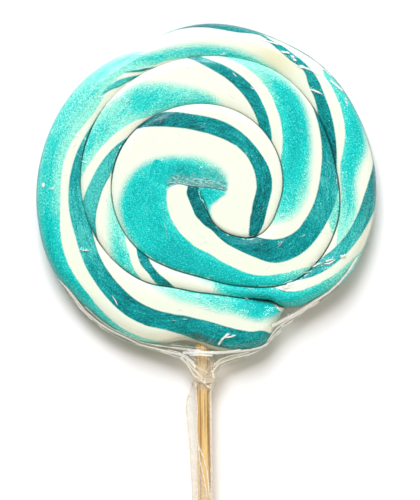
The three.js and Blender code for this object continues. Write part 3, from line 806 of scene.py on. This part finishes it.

# Creases of the film where it stands free, white along their top, folded film with painted highlight:
# course, half width and whiteness.
STRANDS = [
    ([(36.2, -16.8), (34.3, -19.9), (32.1, -22.6), (29.5, -25), (26.8, -26.8)], 0.42, 1),
    ([(26.8, -26.8), (24, -28.7), (21.6, -30.2), (19.2, -31.4), (16, -33.1)], 0.55, 1),
    ([(27.3, -27.2), (24.4, -29.1), (22, -30.5), (19.9, -31.7), (18, -32.9)], 0.26, 0.9),
    ([(22.7, -30.8), (21.3, -31.9), (20, -33.7), (18.2, -35.2), (15.1, -37.6)], 0.25, 0.8),
    ([(21.8, -31.3), (20.1, -32.3), (18.4, -33.5), (16.8, -35), (15.3, -36.5)], 0.22, 0.75),
    ([(18.7, -32.9), (17.5, -33.3), (16.3, -34.7), (14.9, -36.6)], 0.25, 0.8),
    ([(18, -34.3), (16.5, -35.8), (14.4, -37.7)], 0.2, 0.6),
    ([(14.9, -37.4), (13.4, -38.2), (10.5, -38.9), (7.4, -39.3), (1.7, -39.5)], 0.4, 1),
    ([(13.4, -38.8), (12, -39.5), (9.6, -40.2), (7.2, -40.8), (4.8, -41.6), (2.6, -42.5)], 0.3, 0.8),
    ([(10.5, -39.4), (8.1, -39.9), (5.7, -40.4), (3.4, -41.2), (1.9, -42.3)], 0.25, 0.6),
    ([(9.1, -39.9), (6.2, -40.7), (3.8, -41.6), (1.7, -42.9)], 0.2, 0.5),
    ([(-35, -22.3), (-32.1, -26.2), (-30.2, -29), (-26.8, -32.5), (-23, -35.1), (-19.2, -37.2),
      (-15.8, -38.7), (-12.5, -39.2), (-9.6, -39.9), (-6.2, -41.1), (-4.3, -42.5),
      (-3.4, -44.1)], 0.3, 0.85),
    ([(-34, -23.5), (-32.6, -25), (-29.2, -29.6), (-25.4, -32.8), (-22.5, -34.5), (-19.2, -36),
      (-15.8, -37.7), (-11, -38.9), (-6.2, -40.1), (-3.8, -41.6), (-2.6, -43.1)], 0.35, 1),
    ([(-29.2, -28.3), (-25.9, -31.4), (-22.5, -33.8), (-19.2, -35.4), (-15.6, -37), (-11.5, -38),
      (-6.2, -38.4), (-1.4, -38.9)], 0.2, 0.6),
    ([(-13.4, -37.5), (-9.8, -38.1), (-5.5, -38.8), (-1.4, -39)], 0.25, 0.7),
    ([(-5.3, -39.6), (-3.4, -39.5), (-1.4, -39.4), (1.4, -39.5), (4.3, -39.5), (8.1, -39)], 0.5, 1),
    ([(-11, -39.3), (-8.1, -39.8), (-5.7, -40.5), (-3.8, -41.7)], 0.22, 0.8),
    ([(-9.1, -38.9), (-6.7, -39.5), (-4.6, -40.5), (-2.9, -41.9)], 0.22, 0.7),
    ([(-8.6, -37.6), (-5.3, -38), (-2.4, -38.2), (0, -38.4)], 0.18, 0.45),
    ([(-3.8, -40.1), (-1.4, -40), (1.4, -40.2)], 0.3, 0.8),
    ([(-6, -40.8), (-4.3, -42.6), (-3.5, -44.3), (-2.5, -45.5)], 0.35, 0.8),
    ([(-3, -43.5), (-1.9, -44.6), (-0.8, -45.7)], 0.35, 1),
    ([(2.9, -42.6), (1.9, -43.5), (1.6, -44.3), (1.7, -45.5)], 0.3, 0.8),
    ([(0.1, -40.7), (0.9, -41.3), (1.4, -42.2), (1.3, -43.3)], 0.2, 0.45),
    ([(-4.6, -40.4), (-3.2, -42), (-1.7, -43.3), (0.4, -44.3)], 0.25, 0.6),
    ([(-4.6, -41.6), (-3.2, -43.3), (-2, -44.7), (-0.9, -45.9)], 0.28, 0.8),
    ([(3.8, -41.2), (2.4, -42.2), (0.9, -42.8)], 0.3, 0.4),
    ([(-3.4, -40.6), (-1.6, -41.7), (0.1, -42.6), (1.2, -43.6)], 0.22, 0.4),
    ([(-2.3, -45.3), (-1.2, -46.2), (0.2, -47.4), (1.45, -48.6)], 0.3, 1),
    ([(1.3, -43.9), (1.8, -44.6), (1.95, -45.4), (1.7, -46.5), (1.2, -47.3)], 0.28, 0.7),
    ([(1.2, -47.6), (1.3, -49.8), (1.35, -52.7), (1.45, -66), (1.55, -79.6)], 0.5, 0.9),
    ([(-2.5, -46.1), (-2.3, -49.6), (-2.1, -53.4), (-2.2, -57.8), (-1.9, -62.2), (-1.45, -65.6),
      (-0.4, -70), (0.3, -74.4)], 0.3, 0.65),
    ([(-2.1, -61.3), (-0.6, -64.8), (0.3, -68.3), (0.7, -72.2), (0.85, -74.7)], 0.3, 0.7),
    ([(-3.1, -46.7), (-3.8, -49.6), (-3.95, -53.2), (-3.8, -60.4)], 0.25, 0.25),
]

# Patches of fine crinkles over the face: middle, spread both ways, direction in degrees and number.
CRINKLES = [
    (-30.2, 11.5, 3, 5, -15, 14), (-35.5, 3, 3, 4, 5, 7), (25, 29, 7, 6, -42, 12), (28, -18.5, 7, 3, 22, 8),
    (-21.5, 19, 5, 5, 40, 14), (5, -27.5, 9, 3, -15, 16), (14, 25, 5, 3, -30, 9), (-24, 26, 4, 2, 35, 7),
]
SCATTERED_CRINKLES = 110
SCATTER_RADIUS = 33
CRINKLE_HALF_WIDTH = 0.2

film_edge = curve_through(FILM_EDGE)
tail_left = curve_through(TAIL_LEFT)
tail_right = curve_through(TAIL_RIGHT)
flap_edge = curve_through(FLAP_EDGE)


def candy_top(x, y):
    """Height of the sugar's upper face at points of the plan, and 0 beyond its rim."""
    radius = np.hypot(x, y)
    bearing = bearing_of(x, y) % TURN
    top = np.zeros(np.shape(x))
    for turn in range(-1, 4):
        degrees = bearing + TURN * turn
        outer, inner = rope_edge(degrees), inner_edge(degrees)
        inside = (degrees >= ROPE_START) & (degrees <= ROPE_END) & (radius <= outer) & (radius >= inner)
        share = np.clip((outer - radius) / np.maximum(outer - inner, 1e-6), 0, 1)
        top = np.where(inside, across_rope(degrees, share, True)[2], top)
    return lifted(top)


def rim_round(degrees):
    """Radius of the rim, and how far inside it the film starts down over the rim."""
    along = np.where(degrees < ROPE_START, degrees + TURN, degrees)
    rim = rope_edge(along)
    return rim, np.minimum(RIM_ROUND, (rim - inner_edge(along)) / 2)


class TautFilm:
    """The film's height over the sugar: a taut sheet that rests on the crests and spans the grooves."""

    def __init__(self, pitch=0.5, reach=44, rounds=260, tautness=0.97):
        self.pitch, self.reach = pitch, reach
        axis = np.arange(-reach, reach + pitch / 2, pitch)
        x, y = np.meshgrid(axis, axis, indexing="ij")
        rim, edge_round = rim_round((bearing_of(x, y) + 180) % TURN - 180)
        radius = np.hypot(x, y)
        free = (radius < rim - edge_round)[1:-1, 1:-1]
        rest = candy_top(x, y) + FILM_GAP
        height = np.where(radius < rim - edge_round, rest, lifted(face_height(radius)) + FILM_GAP)
        rest = rest[1:-1, 1:-1]
        for _ in range(rounds):
            middle = (height[2:, 1:-1] + height[:-2, 1:-1] + height[1:-1, 2:] + height[1:-1, :-2]) / 4
            sagged = mix(rest, middle, tautness)
            height[1:-1, 1:-1] = np.where(free, np.maximum(rest, sagged), height[1:-1, 1:-1])
        self.height = height

    def __call__(self, x, y):
        i = np.clip((np.asarray(x) + self.reach) / self.pitch, 0, len(self.height) - 1.001)
        j = np.clip((np.asarray(y) + self.reach) / self.pitch, 0, len(self.height) - 1.001)
        i0, j0 = i.astype(int), j.astype(int)
        u, v = i - i0, j - j0
        low = mix(self.height[i0, j0], self.height[i0 + 1, j0], u)
        high = mix(self.height[i0, j0 + 1], self.height[i0 + 1, j0 + 1], u)
        return mix(low, high, v)


def waves(x, seed, octaves=4):
    """A smooth random curve of x, about -1 to 1, with a wavelength of about 1 and shorter."""
    rng = np.random.default_rng(seed)
    total = np.zeros(np.shape(x))
    for octave in range(octaves):
        total += np.sin(2 * np.pi * (x * 1.7**octave * rng.uniform(0.8, 1.2) + rng.uniform())) / 1.5**octave
    return total / 2


def ridges(x):
    """Sharp crests at whole numbers, from 0 between them to 1 on them."""
    return np.abs(2 * (x - np.floor(x)) - 1) ** 2


def near_folds(x, y, folds):
    """How far points of the plan are up on a fold, from 0 to 1, and that times its height or whiteness."""
    crease, rise = np.zeros(np.shape(x)), np.zeros(np.shape(x))
    for course, half_width, height in folds:
        for start, end in zip(course[:-1], course[1:]):
            start, run = np.array(start), np.subtract(end, start)
            share = np.clip(((x - start[0]) * run[0] + (y - start[1]) * run[1]) / (run @ run), 0, 1)
            away = np.hypot(x - start[0] - share * run[0], y - start[1] - share * run[1])
            up = np.clip(1 - away / half_width, 0, 1)
            crease = np.maximum(crease, up)
            rise = np.maximum(rise, up * height)
    return crease, rise


OVER_ROWS = 72
TIP_ROWS = 4
UNDER_ROWS = 16
PLEAT_DEPTH = 0.12
PLEAT_SPACING = 0.8
STRAND_HEIGHT = 0.22
# Painted highlight on the crests: how white those of the pleats along the edge show, and of those that gather
# towards the neck.
PLEAT_CREASE = 0.35
GATHER_CREASE = 0.3


def film_station(degrees):
    """The film's section at one place round the rim, from the face over its edge to the underside.

    Each row is a point's x, y and z, how sharply it is creased and how much painted highlight it shows, how
    loose the film is there, and the place along and across the film's fine streaks.
    """
    rim, edge_round = (float(v) for v in rim_round(degrees))
    half = face_height(rim) / 2
    middle = lifted(half)
    starts = smooth(FILM_FROM, FILM_FROM + FILM_FADE, degrees)
    ends = smooth(FILM_TO - FILM_FADE, FILM_TO, degrees)
    free = float(starts * (1 - ends))
    snug = rim + FILM_GAP
    edge = float(film_edge(degrees)) + EDGE_WAVE * float(waves(degrees / 9, 5))
    reach = max(snug + (edge - snug) * free, snug)
    tip = mix(EDGE_HALF_HEIGHT, NECK_HALF_HEIGHT, float(smooth(NECK_SWELL, NECK_REACH, reach)))

    # The film follows the rim's round until it can run straight to its edge.
    angle = np.linspace(math.pi / 2, 0, 41)
    radius = rim - edge_round + (edge_round + FILM_GAP) * np.cos(angle)
    height = middle + (half + FILM_GAP) * np.sin(angle)
    height += (face_height(np.minimum(radius, rim)) - face_height(rim)) * np.sin(angle)
    slope = np.arctan2(height - middle - tip, np.maximum(reach - radius, 1e-6))
    touch = int(np.argmax(slope[:-1]))
    over = np.concatenate([np.stack([radius, height], 1)[: touch + 1], [(reach, middle + tip)]])
    rows = resampled(over, np.linspace(0, 1, OVER_ROWS + 1))
    flat = float(np.hypot(*(over[-1] - over[-2])))
    way = (over[-1] - over[-2]) / max(flat, 1e-6)
    normal = np.array([-way[1], way[0]])
    from_tip = np.linalg.norm(np.diff(over, axis=0), axis=1).sum() * (1 - np.linspace(0, 1, OVER_ROWS + 1))
    share = np.clip(1 - from_tip / max(flat, 1e-6), 0, 1)

    # Pleats run along the film's edge, and others gather towards the neck.
    freedom = np.sin(np.pi * share**0.8) ** 0.7 * smooth(0.3, 2.0, flat)
    line = from_tip / PLEAT_SPACING + 0.35 * waves(degrees / 14 + from_tip * 0.05, 11)
    strength = np.clip(0.6 + 0.7 * waves(degrees / 11 + np.floor(line) * 3.7, 12), 0, 1)
    x, y = on_disc(degrees, rows[:, 0])
    to_neck = np.hypot(x - stick_axis_x(-NECK_REACH), y + NECK_REACH)
    bearing = np.arctan2(x - stick_axis_x(-NECK_REACH), y + NECK_REACH)
    pleat = ridges(line) * strength * freedom * smooth(1.5, 5, to_neck)
    gather = ridges(bearing * 3.2 + 0.25 * waves(to_neck / 3, 21)) * np.exp(-to_neck / 4.5) * freedom
    rows = rows + normal * (PLEAT_DEPTH * pleat + PLEAT_DEPTH * gather)[:, None]

    x, y = on_disc(degrees, rows[:, 0])
    sharp, rise = near_folds(x, y, FOLDS)
    strand = near_folds(x, y, STRANDS)[1]
    z = rows[:, 1] + np.maximum(rise, STRAND_HEIGHT * strand)
    # The film's free edge shows a thin painted highlight.
    tip_line = 0.5 * free * smooth(0.35, 0.0, from_tip) if flat > 0.8 else np.zeros(len(x))
    crease = np.maximum.reduce([sharp, strand, PLEAT_CREASE * pleat, GATHER_CREASE * gather, tip_line])
    loose = smooth(0.02, 0.2, share) * smooth(0.2, 1.2, flat) * mix(0.4, 1, np.exp(-to_neck / 3.5))
    at_neck = smooth(7, 4, to_neck)
    along = mix(math.radians(degrees) * MEAN_RIM, to_neck, at_neck)
    across = mix(from_tip, bearing * 3, at_neck)
    top = np.stack([x, y, z, crease, loose, along, across], 1)

    wall = np.repeat(top[-1:], TIP_ROWS, axis=0)
    wall[:, 2] = np.linspace(middle + tip, middle - tip, TIP_ROWS + 1)[1:]
    under = np.stack([radius, 2 * middle - height], 1)[: touch + 1]
    under = np.concatenate([under, [(reach, middle - tip)]])[::-1]
    under = resampled(under, np.linspace(0, 1, UNDER_ROWS + 1))[1:]
    low = np.repeat(top[-1:], UNDER_ROWS, axis=0)
    low[:, 0], low[:, 1] = on_disc(degrees, under[:, 0])
    low[:, 2] = np.maximum(under[:, 1], FILM_FLOOR)
    low[:, 3] = 0
    low[:, 4] *= smooth(0, 0.5, np.linspace(1, 0, UNDER_ROWS))
    return np.concatenate([top, wall, low])


def film_stations():
    """Places round the rim, close together where the film is gathered."""
    neck = np.linspace(NECK_FROM, NECK_TO, 37)
    by_neck, free = np.arange(NECK_TO + 0.3, 12, 0.3), np.arange(12.2, 44, 0.45)
    left = np.concatenate([by_neck, free, np.arange(44, FILM_TO + 4, 0.75)])
    right = np.concatenate([np.arange(NECK_FROM - 0.3, -12, -0.3), np.arange(-12.2, FILM_FROM - 4, -0.45)])
    round_back = np.linspace(left[-1], right[-1] + TURN, 190)[1:-1]
    round_back = np.where(round_back > 180, round_back - TURN, round_back)
    return np.concatenate([neck, left, round_back, right[::-1]])


def small_fold(rng, x, y, way, length, sharp):
    """A short, slightly bent fold through a point of the face."""
    share = np.linspace(-0.5, 0.5, 7)
    bend = rng.uniform(-0.3, 0.3) * length * (share**2 - 0.25)
    across = x + length * share * math.cos(way) - bend * math.sin(way)
    up = y + length * share * math.sin(way) + bend * math.cos(way)
    return np.stack([across, up], 1), CRINKLE_HALF_WIDTH, rng.uniform(0.06, 0.15), sharp


def fold_lines(rng):
    """Each sharp fold over the face, and many slight ones: course, half width, height and sharpness."""
    lines = [
        (resampled(np.array(course, float), np.linspace(0, 1, 12)), half_width, height, 1.0)
        for course, half_width, height in FOLDS
    ]
    # Crinkles are slight folds, and the sharpness of each is how much painted glint it shows.
    for x, y, spread_x, spread_y, way, count in CRINKLES:
        for _ in range(count):
            middle = rng.normal((x, y), (spread_x / 2, spread_y / 2))
            turn = math.radians(way) + rng.normal(0, 0.3)
            lines.append(small_fold(rng, *middle, turn, rng.uniform(1.2, 3.2), rng.uniform(0.2, 0.55)))
    for _ in range(SCATTERED_CRINKLES):
        radius, bearing = SCATTER_RADIUS * math.sqrt(rng.uniform()), rng.uniform(0, 2 * math.pi)
        middle = radius * math.cos(bearing), radius * math.sin(bearing)
        turn = bearing + rng.normal(1.2, 0.7)
        lines.append(small_fold(rng, *middle, turn, rng.uniform(1.2, 4), rng.uniform(0.1, 0.4)))
    return lines


FACE_PITCH = 0.75
FACE_JITTER = 0.12
FACE_REACH = 42
# How far folds keep from the ring's edge, and the other points from it and from the folds.
FOLD_MARGIN = 0.7
POINT_MARGIN = 0.45
CREST_MARGIN = 0.6


def film_face(ring, taut):
    """Triangles that fill the ring where the film leaves the face, with its folds as raised ridges.

    A fold is a ridge line with a foot on either side. Returns the points, the faces, and which point of the
    ring each point on it is.
    """
    rng = np.random.default_rng(4)
    bearing = bearing_of(*ring.T)
    order = np.argsort(bearing)

    def inside(x, y, margin):
        limit = np.interp(bearing_of(x, y), bearing[order], np.hypot(*ring.T)[order], period=TURN)
        return np.hypot(x, y) < limit - margin

    points = [ring]
    raised = [np.zeros((len(ring), 2))]
    edges = [(i, (i + 1) % len(ring)) for i in range(len(ring))]
    total = len(ring)
    crests = []
    for line, half_width, height, sharp in fold_lines(rng):
        line = line[inside(*line.T, FOLD_MARGIN)]
        if len(line) < 4:
            continue
        way = np.gradient(line, axis=0)
        way /= np.linalg.norm(way, axis=1)[:, None]
        side = np.stack([-way[:, 1], way[:, 0]], 1)
        up = np.sin(np.pi * np.linspace(0, 1, len(line))) ** 0.4
        up[0] = up[-1] = 0
        wide = (half_width * np.maximum(up, 0.15))[:, None]
        crests.append(line)
        for shift, rise in ((0, up), (1, 0 * up), (-1, 0 * up)):
            points.append(line + shift * side * wide)
            raised.append(np.stack([rise * height, rise * sharp], 1))
            edges += [(total + i, total + i + 1) for i in range(len(line) - 1)]
            total += len(line)
    axis = np.arange(-FACE_REACH, FACE_REACH, FACE_PITCH)
    x, y = np.meshgrid(axis, axis, indexing="ij")
    x = x + FACE_PITCH / 2 * (np.arange(len(axis)) % 2)[None, :]
    spread = np.stack([x.ravel(), y.ravel()], 1) + rng.uniform(-FACE_JITTER, FACE_JITTER, (x.size, 2))
    spread = spread[inside(*spread.T, POINT_MARGIN)]
    taken = np.concatenate(crests)
    nearest = np.min(np.hypot(spread[:, :1] - taken[:, 0], spread[:, 1:] - taken[:, 1]), axis=1)
    spread = spread[nearest > CREST_MARGIN]
    points = np.concatenate(points + [spread])
    raised = np.concatenate(raised + [np.zeros((len(spread), 2))])
    found, _, faces, origins, _, _ = geometry.delaunay_2d_cdt(
        [Vector(p) for p in points.tolist()], edges, [list(range(len(ring)))], 1, 1e-5,
    )
    flat = np.array([tuple(v) for v in found])
    lift = np.array([raised[o[0]] if o else (0, 0) for o in origins])
    z = taut(flat[:, 0], flat[:, 1]) + lift[:, 0]
    sources = [[i for i in o if i < len(ring)] for o in origins]
    on_ring = {i: s[0] for i, s in enumerate(sources) if s}
    return np.column_stack([flat, z, lift[:, 1], np.zeros((len(z), 3))]), faces, on_ring


SLEEVE_DEPTH = 2.15
FLAP_HALF_HEIGHT = 0.1
SLEEVE_PLEAT, SLEEVE_FINE = 0.22, 0.12
SLEEVE_ROUND = 14


def tail_ring(down, shares):
    """The film's section round the stick, a distance down from the neck: a sleeve with a flap at its left."""
    y = -NECK_REACH - down
    middle = stick_axis_x(y)
    sleeve = float(tail_right(down)) - middle
    angle = np.linspace(0, math.pi, 61)
    across = middle + sleeve * np.cos(angle)
    up = min(sleeve, SLEEVE_DEPTH) * np.sin(angle)
    reach = max(middle - float(tail_left(down)), sleeve + 0.02)
    slope = np.arctan2(up - FLAP_HALF_HEIGHT, across - middle + reach)
    touch = int(np.argmax(slope[1:])) + 1
    flap_tip = (middle - reach, FLAP_HALF_HEIGHT)
    top = np.concatenate([np.stack([across, up], 1)[: touch + 1], [flap_tip]])
    ring = resampled(np.concatenate([top, (top * (1, -1))[::-1]]), shares)

    # Lengthwise pleats wind slowly round the stick, tighter at the neck. The flap is wavy.
    near = float(np.exp(-down / 4))
    wind = 0.9 * near + 0.012 * down
    pleat = ridges(shares * 9 + wind * 3 + 0.25 * waves(np.array(down / 9), 31))
    fine = ridges(shares * 17 - wind * 2 + 0.2 * waves(np.array(down / 5), 33))
    out = np.stack([ring[:, 0] - middle, ring[:, 1]], 1)
    out /= np.maximum(np.linalg.norm(out, axis=1), 0.5)[:, None]
    flap_share = np.clip((middle - sleeve - ring[:, 0]) / 1.2, 0, 1)
    swell = (SLEEVE_PLEAT * pleat + SLEEVE_FINE * fine) * (0.4 + 0.6 * near) * (1 - 0.7 * flap_share)
    ring = ring + out * swell[:, None]
    wave = 0.45 * float(waves(np.array(down / 13), 41)) + 0.12 * waves(down / 4 + ring[:, 0] / 3, 43)
    centre = lifted(MID_HEIGHT)
    x, z = ring[:, 0], centre + ring[:, 1] + flap_share * wave

    level = np.full(len(x), y)
    strand = near_folds(x, level, STRANDS)[1] * (z > centre - 0.1 - (x > middle))
    doubled = 0.26 * smooth(13, 18, down) * smooth(0.1, -0.1, x - float(flap_edge(y))) * (z > centre)
    edge = 0.35 * smooth(0.35, 0.05, x - (middle - reach))
    # Pleat crests and strands down the tail carry painted highlight; the flap's edge and the doubled film
    # show white.
    pleated = np.maximum(0.8 * pleat, 0.5 * fine) * (0.12 + 0.5 * near)
    crease = np.maximum.reduce([pleated, strand, edge, doubled])
    z = np.maximum(z + 0.25 * strand, FILM_FLOOR)
    loose = np.full(len(x), mix(0.2, 1, near))
    return np.stack([x, level, z, crease, loose, np.full(len(x), down), shares * SLEEVE_ROUND], 1)


def film_mesh():
    stations = film_stations()
    sections = np.array([film_station(d) for d in stations])
    count, rows = sections.shape[:2]
    taut = TautFilm()
    ring = sections[:, 0, :2]
    sections[:, 0, 2] = taut(*ring.T)
    points = [sections.reshape(-1, sections.shape[2])]
    total = count * rows
    faces = []
    neck_last = int(np.argmin(np.abs(stations - NECK_TO)))
    wall = range(OVER_ROWS, OVER_ROWS + TIP_ROWS)
    for i in range(count):
        here, there = i * rows, (i + 1) % count * rows
        for row in range(rows - 1):
            if i < neck_last and row in wall:
                continue
            faces.append([here + row, here + row + 1, there + row + 1, there + row])
    face, triangles, on_ring = film_face(ring, taut)
    number = {}
    inner = []
    for i in range(len(face)):
        if i in on_ring:
            number[i] = on_ring[i] * rows
        else:
            number[i] = total + len(inner)
            inner.append(face[i])
    points.append(np.array(inner))
    total += len(inner)
    faces += [[number[v] for v in t] for t in triangles]

    # Under the disc the film lies flat.
    last = np.arange(count) * rows + rows - 1
    for share in (0.9, 0.75, 0.5, 0.25, 0.1):
        points.append(sections[:, -1] * (share, share, 1, 0, 0, 0, 0))
        here = total + np.arange(count)
        total += count
        faces += band(last, here)
        last = here
    points.append(np.array([[0, 0, FILM_FLOOR, 0, 0, 0, 0]]))
    faces += [[int(last[i]), total, int(last[(i + 1) % count])] for i in range(count)]
    total += 1

    # The neck's opening, from its right side over the top to the left and back underneath, and the tail.
    mid_row = OVER_ROWS + TIP_ROWS // 2
    loop = [(0, r) for r in range(mid_row, OVER_ROWS, -1)]
    loop += [(i, OVER_ROWS) for i in range(neck_last + 1)]
    loop += [(neck_last, r) for r in range(OVER_ROWS + 1, OVER_ROWS + TIP_ROWS)]
    loop += [(i, OVER_ROWS + TIP_ROWS) for i in range(neck_last, -1, -1)]
    loop += [(0, r) for r in range(OVER_ROWS + TIP_ROWS - 1, mid_row, -1)]
    last = np.array([i * rows + r for i, r in loop])
    opening = np.array([sections[i, r] for i, r in loop])
    length = length_along(np.concatenate([opening, opening[:1]])[:, :3])
    shares = (length / length[-1])[:-1]
    for down in (*np.arange(0.3, 8, 0.22), *np.arange(8, -TAIL_END - NECK_REACH, 0.4)):
        tail = tail_ring(float(down), shares)
        start = tail.copy()
        start[:, (0, 2)] = opening[:, (0, 2)]
        points.append(mix(start, tail, float(smooth(0, 1.6, down))))
        here = total + np.arange(len(shares))
        total += len(shares)
        faces += band(last, here)
        last = here
    points = np.concatenate(points)
    obj = new_mesh("film", points[:, :3], faces, 70)
    face_outward(obj)
    crease, loose, along, across = points[:, 3:].T
    weft = np.stack([along, across, loose], 1)
    set_attributes(obj, "POINT", crease=np.clip(crease, 0, 1), loose=loose, weft=weft)
    return obj


def face_outward(obj):
    shell = bmesh.new()
    shell.from_mesh(obj.data)
    bmesh.ops.recalc_face_normals(shell, faces=shell.faces)
    shell.to_mesh(obj.data)
    shell.free()
    highest = max(obj.data.polygons, key=lambda p: p.center.z)
    if highest.normal.z < 0:
        obj.data.flip_normals()


def film_material():
    n = Nodes("clear_film")
    place = n.place()
    crease, loose = n.attribute("crease"), n.attribute("loose")
    strands = n.noise(n.attribute("weft", "Vector"), (0.16, 3.2, 1.0), 3, 0.6, 0.4)
    fine = n.noise(place, 900, 4, 0.6, 1.5)
    normal = n.bump(n.noise(place, 160, 3, 0.5), 0.0006, 0.5)
    normal = n.bump(n.math("ABSOLUTE", n.math("SUBTRACT", fine, 0.5)), 0.0002, 0.5, normal)
    normal = n.bump(n.times(strands, loose), 0.0003, 0.6, normal)

    # Clear film with a slight gloss, a little dim where it lies loose and doubled at the neck.
    down = n.node("SeparateXYZ", {"Vector": place}).outputs["Y"]
    veil = n.times(n.ramp(loose, 0.02, 0.35), n.ramp(down, -0.049, -0.045, 0.25, 1.0))
    through = n.mix(veil, (0.985, 0.99, 0.985, 1), (0.87, 0.865, 0.84, 1))
    clear = n.shader("BsdfTransparent", Color=through)
    gloss = n.shader("BsdfGlossy", Color=(1, 1, 1, 1), Roughness=0.12, Normal=normal)
    facing = n.node("LayerWeight", {"Blend": 0.5, "Normal": normal}).outputs["Facing"]
    mirror = n.math("MULTIPLY_ADD", n.math("POWER", facing, 5.0), 0.4, 0.018)
    film = n.node("MixShader", {0: mirror, 1: clear, 2: gloss}).outputs[0]

    # Creases show white, folded film with painted glints, slight ones over the sugar in broken lines, and
    # loose film is hazy in streaks.
    gathered = n.ramp(down, -0.0395, -0.043)
    tint = n.mix(gathered, colour(254, 255, 250), colour(252, 243, 222))
    frost = n.shader("BsdfPrincipled", Base_Color=tint, Roughness=0.35, Normal=normal)
    broken = n.ramp(n.noise(place, 1300, 3, 0.6), 0.36, 0.58, 0.4, 1.0)
    broken = n.math("MAXIMUM", broken, n.ramp(loose, 0.0, 0.25, 0.0, 0.85))
    broken = n.math("MAXIMUM", broken, n.ramp(crease, 0.45, 0.7, 0.0, 0.95))
    white = n.times(n.ramp(crease, 0.08, 0.5, 0, 0.96), broken)
    haze = n.times(n.ramp(strands, 0.45, 0.75, 0.03, 0.4), loose)
    thick = n.times(n.ramp(strands, 0.35, 0.65, 0.25, 0.65), n.ramp(loose, 0.45, 0.8))
    share = n.math("MAXIMUM", white, n.math("MAXIMUM", haze, thick))
    return n.finish(n.node("MixShader", {0: share, 1: film, 2: frost}).outputs[0])


# ---- Assembly ----

candy = candy_mesh()
candy.data.materials.append(candy_material())
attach(candy, "root")
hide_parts("candy_coil")

stick = stick_mesh()
stick.data.materials.append(wood_material())
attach(stick, "root")
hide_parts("stick")

film = film_mesh()
film.data.materials.append(film_material())
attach(film, "root")
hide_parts("film_wrap")


# ---- Floor, light and camera ----


def floor_plane():
    size, low = 3000, -0.1
    corners = [(-size, -size, low), (size, -size, low), (size, size, low), (-size, size, low)]
    obj = new_mesh("floor", corners, [[0, 1, 2, 3]])
    n = Nodes("pale_floor")
    paper = n.shader("BsdfPrincipled", Base_Color=(0.97, 0.97, 0.97, 1), Roughness=0.9)
    obj.data.materials.append(n.finish(paper))


def area_light(name, place, target, size, power, tint):
    data = bpy.data.lights.new(name, "AREA")
    data.shape = "RECTANGLE"
    data.size, data.size_y = size
    data.energy = power
    data.color = tint
    obj = bpy.data.objects.new(name, data)
    bpy.context.scene.collection.objects.link(obj)
    obj.location = np.array(place) * MM
    way = Vector(np.array(target) * MM) - obj.location
    obj.rotation_euler = way.to_track_quat("-Z", "Y").to_euler()


floor_plane()
area_light("key", (-200, 840, 940), (0, 0, 0), (0.75, 0.75), 22.3, (0.97, 1.0, 1.05))
area_light("fill", (0, -300, 1400), (0, 0, 0), (1.8, 1.8), 1.9, (1.0, 0.74, 0.46))
area_light("right", (720, -60, 450), (10, -10, 0), (0.7, 0.7), 2.2, (1.0, 0.97, 0.92))
area_light("low", (0, -700, 160), (0, -30, 5), (1.8, 0.3), 3.5, (1.0, 0.92, 0.78))

world = bpy.data.worlds.new("room")
bpy.context.scene.world = world
world.use_nodes = True
background = world.node_tree.nodes["Background"]
background.inputs["Color"].default_value = (1.0, 0.75, 0.46, 1)
background.inputs["Strength"].default_value = 0.072
bpy.context.scene.view_settings.view_transform = "Standard"

# The picture is 500 pixels high, and 4.175 pixels are a millimetre at the disc's face.
PIXELS_PER_MM = 4.175
FRAME_HEIGHT_MM = 500 / PIXELS_PER_MM
AIM = (0.96, -14.85)
DISTANCE = 520
FACE_LEVEL = THICKNESS - 1
SENSOR = 24
camera_data = bpy.data.cameras.new("camera")
camera = bpy.data.objects.new("camera", camera_data)
bpy.context.scene.collection.objects.link(camera)
bpy.context.scene.camera = camera
camera_data.sensor_fit = "VERTICAL"
camera_data.sensor_height = SENSOR
camera_data.lens = SENSOR * DISTANCE / FRAME_HEIGHT_MM
camera_data.clip_start = 0.01
camera_data.clip_end = 50
camera.location = (AIM[0] * MM, AIM[1] * MM, (DISTANCE + FACE_LEVEL) * MM)
camera.rotation_euler = (0, 0, 0)
